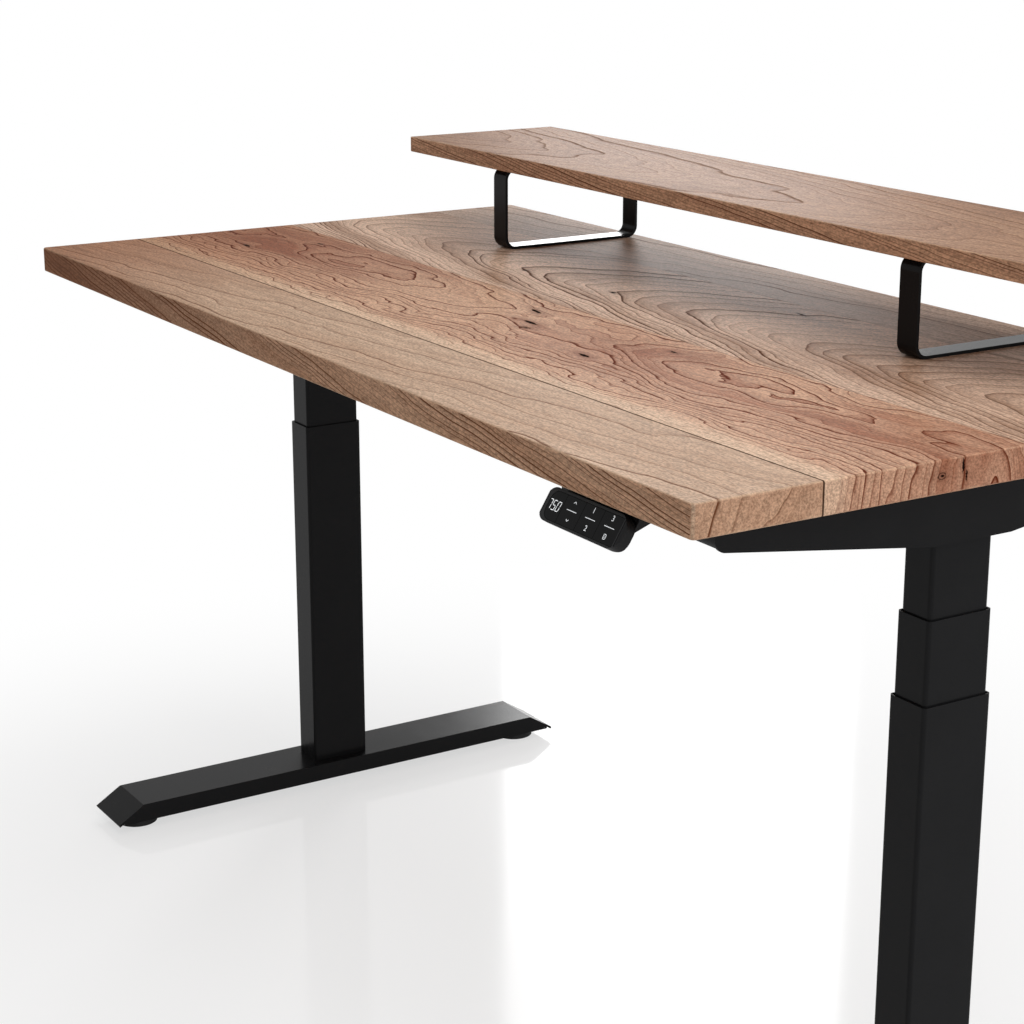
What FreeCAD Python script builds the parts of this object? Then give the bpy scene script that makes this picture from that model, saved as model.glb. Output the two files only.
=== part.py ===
"""Height-adjustable desk with a monitor shelf: one solid per piece, in millimetres.

The origin is on the floor, midway between the two columns. +X runs along the desk to the right,
+Y to the back and +Z up. The desk stands at the height that its display shows.
"""
import FreeCAD, Part
import math
import os

# Desktop
TOP_LENGTH = 1400.0
TOP_DEPTH = 700.0
TOP_THICKNESS = 30.0
TOP_CORNER_RADIUS = 5.0
TOP_EDGE_ROUND = 2.0
FRONT_BOARD_SHARE = 0.184
MIDDLE_BOARD_SHARE = 0.316
THIRD_BOARD_SHARE = 0.321

# Monitor shelf and its two loop brackets
SHELF_LENGTH = 1170.0
SHELF_DEPTH = 220.0
SHELF_THICKNESS = 19.5
SHELF_EDGE_ROUND = 1.2
SHELF_BACK_INSET = 7.0
BRACKET_SPACING = 770.0
BRACKET_WIDTH = 28.0
BRACKET_BAR = 3.5
BRACKET_DEPTH = 201.0
BRACKET_HEIGHT = 102.5
BRACKET_CORNER_RADIUS = 15.0
BRACKET_BACK_INSET = 10.0
BRACKET_SCREW_SPACING = 120.0
BRACKET_SCREW_ENTRY = 3.0

# Feet and levelling pads
COLUMN_SPACING = 1218.0
FOOT_WIDTH = 80.0
FOOT_TOP_LENGTH = 605.0
FOOT_WALL_DROP = 23.0
FOOT_PAD_GAP = 4.0
FOOT_SHEET = 3.0
FOOT_EDGE_ROUND = 1.5
FOOT_END_SLOPE = 31.5
FOOT_END_REACH = 36.0
FOOT_WALL_SETBACK = 8.0
PAD_END_INSET = 5.5
PAD_RADIUS = 27.0
PAD_TOP_RADIUS = 24.0
PAD_THICKNESS = 9.0
PAD_HUB_RADIUS = 9.0
PAD_HUB_HEIGHT = 5.0
PAD_STEM_RADIUS = 4.0
PAD_STEM_GAP = 2.0
PAD_PLATE_LENGTH = 44.0
PAD_PLATE_THICKNESS = 5.0
PAD_PLATE_GAP = 3.0

# Telescopic columns
COLUMN_WIDTH = 48.0
COLUMN_DEPTH = 80.0
COLUMN_RADIUS = 4.0
COLUMN_WALL = 1.5
COLUMN_GAP = 1.0
OUTER_LENGTH = 476.0
MIDDLE_SHOWN = 80.5
INNER_SHOWN = 73.5
LOWEST_GAP = 3.5
STAGE_UP = 252.5
MIDDLE_FLOOR_GAP = 13.0
INNER_FLOOR_GAP = 8.0
BASE_PLATE_THICKNESS = 6.0
GLIDE_LENGTH = 55.0
GLIDE_END_INSET = 3.0
GLIDE_SIDE_SHARE = 0.6
GLIDE_CLEARANCE = 0.1
FOOT_BOLT_SPACING_X = 26.0
FOOT_BOLT_SPACING_Y = 54.0
FOOT_BOLT_RADIUS = 3.0
FOOT_BOLT_HEAD_RADIUS = 5.5
FOOT_BOLT_HEAD_HEIGHT = 4.0

# Lifting screws inside each column
SPINDLE_RADIUS = 5.0
SPINDLE_ENGAGEMENT = 7.5
JOURNAL_RADIUS = 4.0
KEY_WIDTH = 2.0
KEY_DEPTH = 1.0
KEY_LENGTH = 14.0
HOLLOW_WALL = 3.2
SUPPORT_WALL = 2.0
PUSH_WALL = 2.0
TUBE_CLEARANCE = 0.5
RUNNING_CLEARANCE = 0.06
NUT_LENGTH = 25.0
COLLAR_LENGTH = 8.0
COLLAR_RING = 4.0
AXIAL_PLAY = 0.3
CARRIER_THICKNESS = 12.0
SPINDLE_END_GAP = 5.0
NUT_HEAD_GAP = 22.0

# Side arms, column heads, gearboxes and motors
ARM_WIDTH = 63.0
ARM_EDGE_INSET = 67.0
ARM_SHEET = 2.5
ARM_TIP_DEPTH = 36.0
ARM_MIDDLE_LENGTH = 90.0
ARM_TIP_RADIUS = 12.0
HEAD_PLATE_LENGTH = 124.0
HEAD_PLATE_THICKNESS = 6.0
HEAD_PLATE_LIFT = 2.0
HEAD_POST_RADIUS = 6.0
HEAD_POST_SPACING_X = 34.0
HEAD_POST_SPACING_Y = 100.0
HEAD_BOLT_LENGTH = 20.0
GEARBOX_SIDE_GAP = 2.0
GEARBOX_DEPTH = 64.0
GEARBOX_MARGIN = 2.25
GEARBOX_RADIUS = 5.0
MOTOR_RADIUS = 25.0
MOTOR_LENGTH = 108.0
MOTOR_FLANGE_STEP = 2.0
MOTOR_FLANGE_LENGTH = 8.0
MOTOR_CAP_RADIUS = 17.0
MOTOR_CAP_LENGTH = 9.0
MOTOR_WINDOW_MARGIN = 1.5

# Rails between the arms
RAIL_OFFSET = 84.0
RAIL_HEIGHT = 40.0
RAIL_WIDTH = 26.0
RAIL_SHEET = 2.0
RAIL_END_PLATE = 3.0
RAIL_BOLT_RADIUS = 3.0
RAIL_BOLT_HEAD_RADIUS = 5.0
RAIL_BOLT_HEAD_HEIGHT = 3.0
RAIL_BOLT_LENGTH = 14.0

# Screws in wood
WOOD_SCREW_RADIUS = 2.2
WOOD_SCREW_HEAD_RADIUS = 4.4
WOOD_SCREW_HEAD_HEIGHT = 2.4
WOOD_SCREW_BITE = 16.0
SCREW_HOLE_CLEARANCE = 0.1
ARM_SCREW_TIP_INSET = 29.0
ARM_SCREW_INNER = 122.0
RAIL_SCREW_SPACING = 640.0

# Control box
BOX_LENGTH = 250.0
BOX_DEPTH = 104.0
BOX_HEIGHT = 34.0
BOX_RADIUS = 6.0
BOX_WALL = 3.0
BOX_COVER_THICKNESS = 3.0
BOX_EAR_LENGTH = 14.0
BOX_EAR_WIDTH = 18.0
BOX_EAR_THICKNESS = 3.0
BOX_EAR_SPACING = 70.0
SOCKET_WIDTH = 15.0
SOCKET_HEIGHT = 12.0
SOCKET_DEPTH = 9.0
SOCKET_PITCH = 22.0
SOCKET_INSET = 18.0
INLET_WIDTH = 27.0
INLET_HEIGHT = 20.0
INLET_INSET = 4.0
INLET_WALL = 2.0
INLET_DEPTH = 16.0
INLET_PIN_SPACING = 7.0
INLET_PIN_WIDTH = 2.0
INLET_PIN_HEIGHT = 5.0

# Handset under the front edge
HANDSET_END_INSET = 151.5
HANDSET_REACH = 10.0
HANDSET_TOP_GAP = 4.2
HANDSET_TILT = 32.0
HANDSET_FACE_WIDTH = 111.0
HANDSET_FACE_HEIGHT = 31.0
HANDSET_DEPTH = 11.0
HANDSET_END_RADIUS = 4.0
HANDSET_CORNER_RADIUS = 13.0
HANDSET_BACK_RADIUS = 5.0
HANDSET_RIM_SIDE = 4.0
HANDSET_RIM_LOW = 2.0
HANDSET_RIM_HIGH = 2.5
HANDSET_GROOVE = 0.8
KEY_POCKET_DEPTH = 4.2
KEY_GAP = 0.4
KEY_SINK = 0.2
ROCKER_WIDTH = 27.5
ROCKER_THICKNESS = 2.8
ROCKER_RIB_RADIUS = 1.2
MOUNT_OVERLAP = 11.0
MOUNT_LENGTH = 40.0
MOUNT_TAIL = 3.0
MOUNT_SCREW_SPACING = 84.0
MOUNT_SCREW_SETBACK = 11.0

# Levels and places that follow from the sizes above
COLUMN_X = COLUMN_SPACING / 2.0
SCREW_HOLE_RADIUS = WOOD_SCREW_RADIUS + SCREW_HOLE_CLEARANCE
FOOT_HEIGHT = PAD_THICKNESS + FOOT_PAD_GAP + FOOT_WALL_DROP
PAD_Y = FOOT_TOP_LENGTH / 2.0 - PAD_END_INSET
OUTER_TOP = FOOT_HEIGHT + OUTER_LENGTH
MIDDLE_TOP = OUTER_TOP + MIDDLE_SHOWN
ARM_BOTTOM = MIDDLE_TOP + INNER_SHOWN
HEAD_BOTTOM = ARM_BOTTOM + HEAD_PLATE_LIFT
HEAD_TOP = HEAD_BOTTOM + HEAD_PLATE_THICKNESS
MOTOR_FLANGE_RADIUS = MOTOR_RADIUS + MOTOR_FLANGE_STEP
GEARBOX_TOP = HEAD_TOP + 2.0 * (MOTOR_FLANGE_RADIUS + GEARBOX_MARGIN)
GEARBOX_WIDTH = ARM_WIDTH - 2.0 * (ARM_SHEET + GEARBOX_SIDE_GAP)
MOTOR_LEVEL = (HEAD_TOP + GEARBOX_TOP) / 2.0
JOURNAL_TOP = (HEAD_TOP + MOTOR_LEVEL) / 2.0
UNDERSIDE = GEARBOX_TOP + ARM_SHEET
TOP_HEIGHT = UNDERSIDE + TOP_THICKNESS
ARM_LENGTH = TOP_DEPTH - 2.0 * ARM_EDGE_INSET
STAGE_STEP = 2.0 * (COLUMN_WALL + COLUMN_GAP)
STAGE_DOWN = INNER_SHOWN - LOWEST_GAP
BASE_PLATE_TOP = FOOT_HEIGHT + BASE_PLATE_THICKNESS
MIDDLE_BOTTOM = BASE_PLATE_TOP + STAGE_DOWN + MIDDLE_FLOOR_GAP
INNER_BOTTOM = MIDDLE_BOTTOM + CARRIER_THICKNESS + STAGE_DOWN + INNER_FLOOR_GAP
HOLLOW_BORE = SPINDLE_RADIUS + TUBE_CLEARANCE
HOLLOW_RADIUS = HOLLOW_BORE + HOLLOW_WALL
SUPPORT_BORE = HOLLOW_RADIUS + TUBE_CLEARANCE
SUPPORT_RADIUS = SUPPORT_BORE + SUPPORT_WALL
PUSH_BORE = SUPPORT_RADIUS + TUBE_CLEARANCE
PUSH_RADIUS = PUSH_BORE + PUSH_WALL
HOLLOW_BOTTOM = BASE_PLATE_TOP + SPINDLE_END_GAP + STAGE_DOWN
LOWER_NUT_BOTTOM = HOLLOW_BOTTOM + STAGE_UP + AXIAL_PLAY
UPPER_NUT_TOP = HEAD_BOTTOM - STAGE_DOWN - NUT_HEAD_GAP
UPPER_NUT_BOTTOM = UPPER_NUT_TOP - NUT_LENGTH
COLLAR_TOP = UPPER_NUT_BOTTOM - AXIAL_PLAY
COLLAR_BOTTOM = COLLAR_TOP - COLLAR_LENGTH
SPINDLE_BOTTOM = COLLAR_TOP - KEY_LENGTH - SPINDLE_ENGAGEMENT - STAGE_UP
RAIL_HALF_LENGTH = (COLUMN_SPACING - ARM_WIDTH) / 2.0
BOX_MIDDLE = UNDERSIDE - BOX_HEIGHT / 2.0
INLET_Y = (INLET_WIDTH - BOX_DEPTH) / 2.0 + INLET_INSET
HANDSET_X = TOP_LENGTH / 2.0 - HANDSET_END_INSET
POCKET_RADIUS = HANDSET_CORNER_RADIUS - HANDSET_RIM_SIDE
HANDSET_FRONT = -TOP_DEPTH / 2.0 - HANDSET_REACH
HANDSET_BOTTOM = UNDERSIDE - HANDSET_TOP_GAP - HANDSET_FACE_HEIGHT * math.cos(math.radians(HANDSET_TILT))
MOUNT_SEAT = UNDERSIDE - MOUNT_TAIL
SAME_PLACE = 1e-6
SIDES = {"left": -1.0, "right": 1.0}
ENDS = {"front": -1.0, "rear": 1.0}


def vector(x, y, z):
    """A point or direction."""
    return FreeCAD.Vector(x, y, z)


def block(x_range, y_range, z_range):
    """A box between two limits on each axis."""
    corner = vector(x_range[0], y_range[0], z_range[0])
    sizes = [limits[1] - limits[0] for limits in (x_range, y_range, z_range)]
    return Part.makeBox(sizes[0], sizes[1], sizes[2], corner)


def about(centre, size):
    """The two limits of a size laid evenly about a centre."""
    return (centre - size / 2.0, centre + size / 2.0)


def upright_cylinder(x, y, radius, bottom, top):
    """A cylinder along Z."""
    return Part.makeCylinder(radius, top - bottom, vector(x, y, bottom))


def ring(x, y, outer, inner, bottom, top):
    """A round tube along Z."""
    wall = upright_cylinder(x, y, outer, bottom, top)
    return wall.cut(upright_cylinder(x, y, inner, bottom, top))


def prism_along_x(outline, x_range):
    """A solid of one outline of (y, z) points, drawn out along X."""
    points = [vector(x_range[0], y, z) for y, z in outline]
    face = Part.Face(Part.makePolygon(points + points[:1]))
    return face.extrude(vector(x_range[1] - x_range[0], 0, 0))


def edges_along(shape, direction):
    """The straight edges that run along a direction."""
    found = []
    for edge in shape.Edges:
        if isinstance(edge.Curve, Part.Line):
            run = edge.Vertexes[-1].Point.sub(edge.Vertexes[0].Point)
            if run.cross(direction).Length < SAME_PLACE:
                found.append(edge)
    return found


def edges_at_level(shape, level):
    """The edges that lie in one horizontal plane."""
    return [edge for edge in shape.Edges
            if abs(edge.BoundBox.ZMin - level) < SAME_PLACE and abs(edge.BoundBox.ZMax - level) < SAME_PLACE]


def rounded_block(x_range, y_range, z_range, radius):
    """A box with its upright edges rounded."""
    box = block(x_range, y_range, z_range)
    return box.makeFillet(radius, edges_along(box, vector(0, 0, 1)))


def fused(shapes):
    """Several touching shapes made one, with seams between level faces removed."""
    return shapes[0].multiFuse(shapes[1:]).removeSplitter()


def drilled(shape, holes):
    """A shape with holes taken out of it."""
    return shape.cut(Part.makeCompound(holes))


def grid(x_centre, x_spacing, y_centre, y_spacing):
    """The four corners of a hole pattern."""
    return [(x_centre + sx * x_spacing / 2.0, y_centre + sy * y_spacing / 2.0)
            for sx in (-1, 1) for sy in (-1, 1)]


# Wooden boards

def board_edges():
    """Y of each seam between the boards, with both edges of the desktop."""
    front = -TOP_DEPTH / 2.0
    first_seam = front + FRONT_BOARD_SHARE * TOP_DEPTH
    second_seam = first_seam + MIDDLE_BOARD_SHARE * TOP_DEPTH
    third_seam = second_seam + THIRD_BOARD_SHARE * TOP_DEPTH
    return [front, first_seam, second_seam, third_seam, TOP_DEPTH / 2.0]


def desktop_boards(screw_holes):
    """Four edge-glued boards, cut from one rounded slab."""
    slab = rounded_block(about(0, TOP_LENGTH), about(0, TOP_DEPTH), (UNDERSIDE, TOP_HEIGHT),
                         TOP_CORNER_RADIUS)
    rims = edges_at_level(slab, UNDERSIDE) + edges_at_level(slab, TOP_HEIGHT)
    slab = drilled(slab.makeFillet(TOP_EDGE_ROUND, rims), screw_holes)
    names = ["front_board", "middle_board", "third_board", "rear_board"]
    edges = board_edges()
    boards = {}
    for name, low, high in zip(names, edges[:-1], edges[1:]):
        strip = block(about(0, TOP_LENGTH), (low, high), (UNDERSIDE, TOP_HEIGHT))
        boards[name] = slab.common(strip)
    return boards


def shelf_levels():
    """Underside and top of the monitor shelf."""
    bottom = TOP_HEIGHT + BRACKET_HEIGHT
    return bottom, bottom + SHELF_THICKNESS


def monitor_shelf(screw_holes):
    """A plain board with softened edges, drilled from below."""
    back = TOP_DEPTH / 2.0 - SHELF_BACK_INSET
    board = block(about(0, SHELF_LENGTH), (back - SHELF_DEPTH, back), shelf_levels())
    return drilled(board.makeFillet(SHELF_EDGE_ROUND, board.Edges), screw_holes)


# Loop brackets

def bracket_screw_places():
    """X, Y of each bracket screw; the same places serve the base strip and the top strip."""
    centre = TOP_DEPTH / 2.0 - BRACKET_BACK_INSET - BRACKET_DEPTH / 2.0
    return [(side * BRACKET_SPACING / 2.0, centre + end * BRACKET_SCREW_SPACING / 2.0)
            for side in SIDES.values() for end in ENDS.values()]


def loop_prism(x_range, inset):
    """A rounded oblong of the bracket's side view, drawn in by an inset."""
    back = TOP_DEPTH / 2.0 - BRACKET_BACK_INSET - inset
    front = back - BRACKET_DEPTH + 2.0 * inset
    body = block(x_range, (front, back), (TOP_HEIGHT + inset, TOP_HEIGHT + BRACKET_HEIGHT - inset))
    return body.makeFillet(BRACKET_CORNER_RADIUS - inset, edges_along(body, vector(1, 0, 0)))


def loop_bracket(side, screws):
    """A flat bar bent into a closed loop, with the holes for its screws."""
    x_range = about(side * BRACKET_SPACING / 2.0, BRACKET_WIDTH)
    return loop_prism(x_range, 0.0).cut(loop_prism(x_range, BRACKET_BAR)).cut(screws)


def countersunk_screw(x, y, head_level, direction, length, grow):
    """A flat-head screw whose head is flush with one face; grow widens it into its hole."""
    head = WOOD_SCREW_HEAD_RADIUS + grow
    shank = WOOD_SCREW_RADIUS + grow
    down = vector(0, 0, direction)
    start = vector(x, y, head_level)
    cone = Part.makeCone(head, shank, WOOD_SCREW_HEAD_HEIGHT, start, down)
    body = Part.makeCylinder(shank, length + grow, start, down)
    return cone.fuse(body).removeSplitter()


def bracket_screws(grow):
    """Screws up through the desktop into each base strip, and up through each top strip into the shelf."""
    lower_length = TOP_THICKNESS + BRACKET_SCREW_ENTRY
    upper_length = BRACKET_BAR + WOOD_SCREW_BITE
    top_face = TOP_HEIGHT + BRACKET_HEIGHT - BRACKET_BAR
    screws = []
    for x, y in bracket_screw_places():
        screws.append(countersunk_screw(x, y, UNDERSIDE, 1.0, lower_length, grow))
        screws.append(countersunk_screw(x, y, top_face, 1.0, upper_length, grow))
    return Part.makeCompound(screws)


# Feet

def foot_side_outlines():
    """The bent strip and the side wall of a foot, each as (y, z) points."""
    slope = math.radians(FOOT_END_SLOPE)
    knee = FOOT_TOP_LENGTH / 2.0
    tip = knee + FOOT_END_REACH
    tip_level = FOOT_HEIGHT - FOOT_END_REACH * math.tan(slope)
    inner_knee = knee - FOOT_SHEET * math.tan(slope / 2.0)
    inner_tip = (tip - FOOT_SHEET * math.sin(slope), tip_level - FOOT_SHEET * math.cos(slope))
    strip_half = [(knee, FOOT_HEIGHT), (tip, tip_level), inner_tip, (inner_knee, FOOT_HEIGHT - FOOT_SHEET)]
    wall_end = tip - FOOT_WALL_SETBACK
    wall_level = FOOT_HEIGHT - (wall_end - knee) * math.tan(slope)
    wall_half = [(knee, FOOT_HEIGHT), (wall_end, wall_level), (wall_end, FOOT_HEIGHT - FOOT_WALL_DROP)]
    return [half + [(-y, z) for y, z in reversed(half)] for half in (strip_half, wall_half)]


def foot_bolt_places(side):
    """X, Y of the four bolts that hold a column on its foot."""
    return grid(side * COLUMN_X, FOOT_BOLT_SPACING_X, 0.0, FOOT_BOLT_SPACING_Y)


def pad_plate_range():
    """Underside and top of the threaded plate that takes a pad's stem."""
    bottom = PAD_THICKNESS + PAD_HUB_HEIGHT + PAD_PLATE_GAP
    return (bottom, bottom + PAD_PLATE_THICKNESS)


def foot(side):
    """A folded steel foot, open below, with a threaded plate for each levelling pad."""
    centre = side * COLUMN_X
    strip, wall = foot_side_outlines()
    x_low, x_high = about(centre, FOOT_WIDTH)
    skin = [prism_along_x(strip, (x_low, x_high)),
            prism_along_x(wall, (x_low, x_low + FOOT_SHEET)),
            prism_along_x(wall, (x_high - FOOT_SHEET, x_high))]
    shell = fused(skin)
    long_edges = [edge for edge in edges_along(shell, vector(0, 1, 0))
                  if abs(edge.BoundBox.ZMin - FOOT_HEIGHT) < SAME_PLACE]
    shell = shell.makeFillet(FOOT_EDGE_ROUND, long_edges)
    between_walls = (x_low + FOOT_SHEET, x_high - FOOT_SHEET)
    plates = [block(between_walls, about(end * PAD_Y, PAD_PLATE_LENGTH), pad_plate_range())
              for end in ENDS.values()]
    holes = [upright_cylinder(x, y, FOOT_BOLT_RADIUS + SCREW_HOLE_CLEARANCE, 0, FOOT_HEIGHT)
             for x, y in foot_bolt_places(side)]
    holes += [upright_cylinder(centre, end * PAD_Y, PAD_STEM_RADIUS + RUNNING_CLEARANCE,
                               *pad_plate_range()) for end in ENDS.values()]
    return drilled(fused([shell] + plates), holes)


def levelling_pad(side, end):
    """A round foot with sloping sides, a hub and a stem that screws into the foot."""
    hub_top = PAD_THICKNESS + PAD_HUB_HEIGHT
    stem_top = FOOT_HEIGHT - FOOT_SHEET - PAD_STEM_GAP
    profile = [(0, 0), (PAD_RADIUS, 0), (PAD_TOP_RADIUS, PAD_THICKNESS), (PAD_HUB_RADIUS, PAD_THICKNESS),
               (PAD_HUB_RADIUS, hub_top), (PAD_STEM_RADIUS, hub_top),
               (PAD_STEM_RADIUS, stem_top), (0, stem_top)]
    points = [vector(r, 0, z) for r, z in profile]
    face = Part.Face(Part.makePolygon(points + points[:1]))
    pad = face.revolve(vector(0, 0, 0), vector(0, 0, 1), 360)
    pad.translate(vector(side * COLUMN_X, end * PAD_Y, 0))
    return pad


def foot_bolts():
    """Bolts from below, through the foot into the base plate of each column."""
    head_top = FOOT_HEIGHT - FOOT_SHEET
    bolts = []
    for side in SIDES.values():
        for x, y in foot_bolt_places(side):
            head = upright_cylinder(x, y, FOOT_BOLT_HEAD_RADIUS, head_top - FOOT_BOLT_HEAD_HEIGHT, head_top)
            shank = upright_cylinder(x, y, FOOT_BOLT_RADIUS, head_top, BASE_PLATE_TOP)
            bolts.append(fused([head, shank]))
    return Part.makeCompound(bolts)


# Telescopic columns

def stage_size(stage):
    """Outside width and depth of a column stage, counted from the outer tube."""
    return COLUMN_WIDTH - stage * STAGE_STEP, COLUMN_DEPTH - stage * STAGE_STEP


def stage_tube(side, stage, z_range):
    """A rectangular tube with rounded corners."""
    centre = side * COLUMN_X
    width, depth = stage_size(stage)
    bore_radius = COLUMN_RADIUS - COLUMN_WALL
    outside = rounded_block(about(centre, width), about(0, depth), z_range, COLUMN_RADIUS)
    bore = rounded_block(about(centre, width - 2.0 * COLUMN_WALL), about(0, depth - 2.0 * COLUMN_WALL),
                         z_range, bore_radius)
    return outside.cut(bore)


def bore_plug(side, stage, z_range):
    """A plate that fills the bore of a stage."""
    centre = side * COLUMN_X
    width, depth = stage_size(stage)
    return rounded_block(about(centre, width - 2.0 * COLUMN_WALL), about(0, depth - 2.0 * COLUMN_WALL),
                         z_range, COLUMN_RADIUS - COLUMN_WALL)


def outer_column(side):
    """The fixed tube with a base plate welded in, threaded for the bolts of the foot."""
    tube = stage_tube(side, 0, (FOOT_HEIGHT, OUTER_TOP))
    plate = bore_plug(side, 0, (FOOT_HEIGHT, BASE_PLATE_TOP))
    holes = [upright_cylinder(x, y, FOOT_BOLT_RADIUS + SCREW_HOLE_CLEARANCE, FOOT_HEIGHT, BASE_PLATE_TOP)
             for x, y in foot_bolt_places(side)]
    return drilled(fused([tube, plate]), holes)


def middle_column(side):
    """The tube between the fixed one and the one that carries the top."""
    return stage_tube(side, 1, (MIDDLE_BOTTOM, MIDDLE_TOP))


def glide_set(side, stage, z_range, outward):
    """Four flat slides in the gap outside or inside a stage, one to each flat of the tube."""
    centre = side * COLUMN_X
    width, depth = stage_size(stage)
    if outward:
        near, far = 0.0, COLUMN_GAP - GLIDE_CLEARANCE
    else:
        near, far = -COLUMN_WALL - COLUMN_GAP + GLIDE_CLEARANCE, -COLUMN_WALL
    slides = []
    for sign in (-1.0, 1.0):
        x_limits = sorted(centre + sign * (width / 2.0 + edge) for edge in (near, far))
        y_limits = sorted(sign * (depth / 2.0 + edge) for edge in (near, far))
        slides.append(block(x_limits, about(0, depth * GLIDE_SIDE_SHARE), z_range))
        slides.append(block(about(centre, width * GLIDE_SIDE_SHARE), y_limits, z_range))
    return slides


def top_glide_range(stage_top):
    """Height range of the slides at the mouth of a tube."""
    return (stage_top - GLIDE_END_INSET - GLIDE_LENGTH, stage_top - GLIDE_END_INSET)


def bottom_glide_range(stage_bottom):
    """Height range of the slides at the lower end of a tube."""
    return (stage_bottom + GLIDE_END_INSET, stage_bottom + GLIDE_END_INSET + GLIDE_LENGTH)


def outer_glides(side):
    """Slides in the mouth of the fixed tube."""
    return Part.makeCompound(glide_set(side, 0, top_glide_range(OUTER_TOP), False))


def middle_glides(side):
    """Slides at both ends of the middle tube: outside below, inside above."""
    return Part.makeCompound(glide_set(side, 1, bottom_glide_range(MIDDLE_BOTTOM), True)
                             + glide_set(side, 1, top_glide_range(MIDDLE_TOP), False))


def inner_glides(side):
    """Slides at the lower end of the inner tube."""
    return Part.makeCompound(glide_set(side, 2, bottom_glide_range(INNER_BOTTOM), True))


def head_post_places(side):
    """X, Y of the four posts between a column head and its arm."""
    return grid(side * COLUMN_X, HEAD_POST_SPACING_X, 0.0, HEAD_POST_SPACING_Y)


def inner_column(side, head_bolts):
    """The moving tube with its head plate and four threaded posts, welded in one."""
    centre = side * COLUMN_X
    tube = stage_tube(side, 2, (INNER_BOTTOM, HEAD_BOTTOM))
    plate_width = ARM_WIDTH - 2.0 * (ARM_SHEET + TUBE_CLEARANCE)
    plate = block(about(centre, plate_width), about(0, HEAD_PLATE_LENGTH), (HEAD_BOTTOM, HEAD_TOP))
    posts = [upright_cylinder(x, y, HEAD_POST_RADIUS, HEAD_TOP, GEARBOX_TOP)
             for x, y in head_post_places(side)]
    journal = upright_cylinder(centre, 0, JOURNAL_RADIUS + RUNNING_CLEARANCE, HEAD_BOTTOM, HEAD_TOP)
    return drilled(fused([tube, plate] + posts), [journal]).cut(head_bolts)


def head_bolts(grow):
    """Flat-head bolts from the top of each arm into the posts of the column heads."""
    bolts = []
    for side in SIDES.values():
        for x, y in head_post_places(side):
            bolts.append(countersunk_screw(x, y, UNDERSIDE, -1.0, HEAD_BOLT_LENGTH, grow))
    return Part.makeCompound(bolts)


# Lifting screws

def support_tube(side):
    """The tube on the base plate that carries the lower nut."""
    return ring(side * COLUMN_X, 0, SUPPORT_RADIUS, SUPPORT_BORE, BASE_PLATE_TOP, LOWER_NUT_BOTTOM)


def lower_nut(side):
    """The nut that the hollow screw climbs in."""
    return ring(side * COLUMN_X, 0, SUPPORT_RADIUS, HOLLOW_RADIUS + RUNNING_CLEARANCE,
                LOWER_NUT_BOTTOM, LOWER_NUT_BOTTOM + NUT_LENGTH)


def push_tube(side):
    """The tube on the carrier of the middle stage, with a ring inside that holds the hollow screw."""
    centre = side * COLUMN_X
    carrier_top = MIDDLE_BOTTOM + CARRIER_THICKNESS
    carrier = bore_plug(side, 1, (MIDDLE_BOTTOM, carrier_top))
    wall = upright_cylinder(centre, 0, PUSH_RADIUS, carrier_top, UPPER_NUT_BOTTOM)
    ring_top = COLLAR_BOTTOM - AXIAL_PLAY
    bores = [upright_cylinder(centre, 0, PUSH_BORE, MIDDLE_BOTTOM, ring_top - COLLAR_RING),
             upright_cylinder(centre, 0, HOLLOW_RADIUS + RUNNING_CLEARANCE, MIDDLE_BOTTOM, ring_top),
             upright_cylinder(centre, 0, PUSH_BORE, ring_top, UPPER_NUT_BOTTOM)]
    return drilled(fused([carrier, wall]), [fused(bores)])


def upper_nut(side):
    """The nut on the push tube that the drive screw climbs in."""
    return ring(side * COLUMN_X, 0, PUSH_RADIUS, SPINDLE_RADIUS + RUNNING_CLEARANCE,
                UPPER_NUT_BOTTOM, UPPER_NUT_TOP)


def key_block(side, height, grow, z_range):
    """A square key on the front of the drive screw; grow widens it into its groove."""
    return block(about(side * COLUMN_X, KEY_WIDTH + 2.0 * grow),
                 (-HOLLOW_BORE - height, -SPINDLE_RADIUS + KEY_DEPTH + grow), z_range)


def hollow_spindle(side):
    """The hollow screw: a collar holds it in the push tube and a key takes turn from the drive screw."""
    centre = side * COLUMN_X
    body = upright_cylinder(centre, 0, HOLLOW_RADIUS, HOLLOW_BOTTOM, COLLAR_TOP)
    collar = upright_cylinder(centre, 0, PUSH_BORE - TUBE_CLEARANCE, COLLAR_BOTTOM, COLLAR_TOP)
    bore = upright_cylinder(centre, 0, HOLLOW_BORE, HOLLOW_BOTTOM, COLLAR_TOP)
    key = key_block(side, HOLLOW_WALL / 2.0, 0.0, (COLLAR_TOP - KEY_LENGTH, COLLAR_TOP))
    return fused([fused([body, collar]).cut(bore), key])


def drive_spindle(side):
    """The drive screw, grooved for the key, with a journal that runs up into the gearbox."""
    centre = side * COLUMN_X
    shoulder = HEAD_BOTTOM - AXIAL_PLAY
    screw = upright_cylinder(centre, 0, SPINDLE_RADIUS, SPINDLE_BOTTOM, shoulder)
    journal = upright_cylinder(centre, 0, JOURNAL_RADIUS, shoulder, JOURNAL_TOP)
    groove = key_block(side, 0.0, RUNNING_CLEARANCE, (SPINDLE_BOTTOM, shoulder))
    return fused([screw, journal]).cut(groove)


# Arms, gearboxes, motors and rails

def arm_screw_places(side):
    """X, Y of the wood screws through the top of an arm."""
    return [(side * COLUMN_X, end * reach)
            for end in ENDS.values() for reach in (ARM_SCREW_INNER, ARM_LENGTH / 2.0 - ARM_SCREW_TIP_INSET)]


def rail_bolt_places():
    """Y, Z of the bolts that hold the rails to an arm."""
    level = UNDERSIDE - RAIL_HEIGHT / 2.0
    return [(end * RAIL_OFFSET, level) for end in ENDS.values()]


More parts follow.
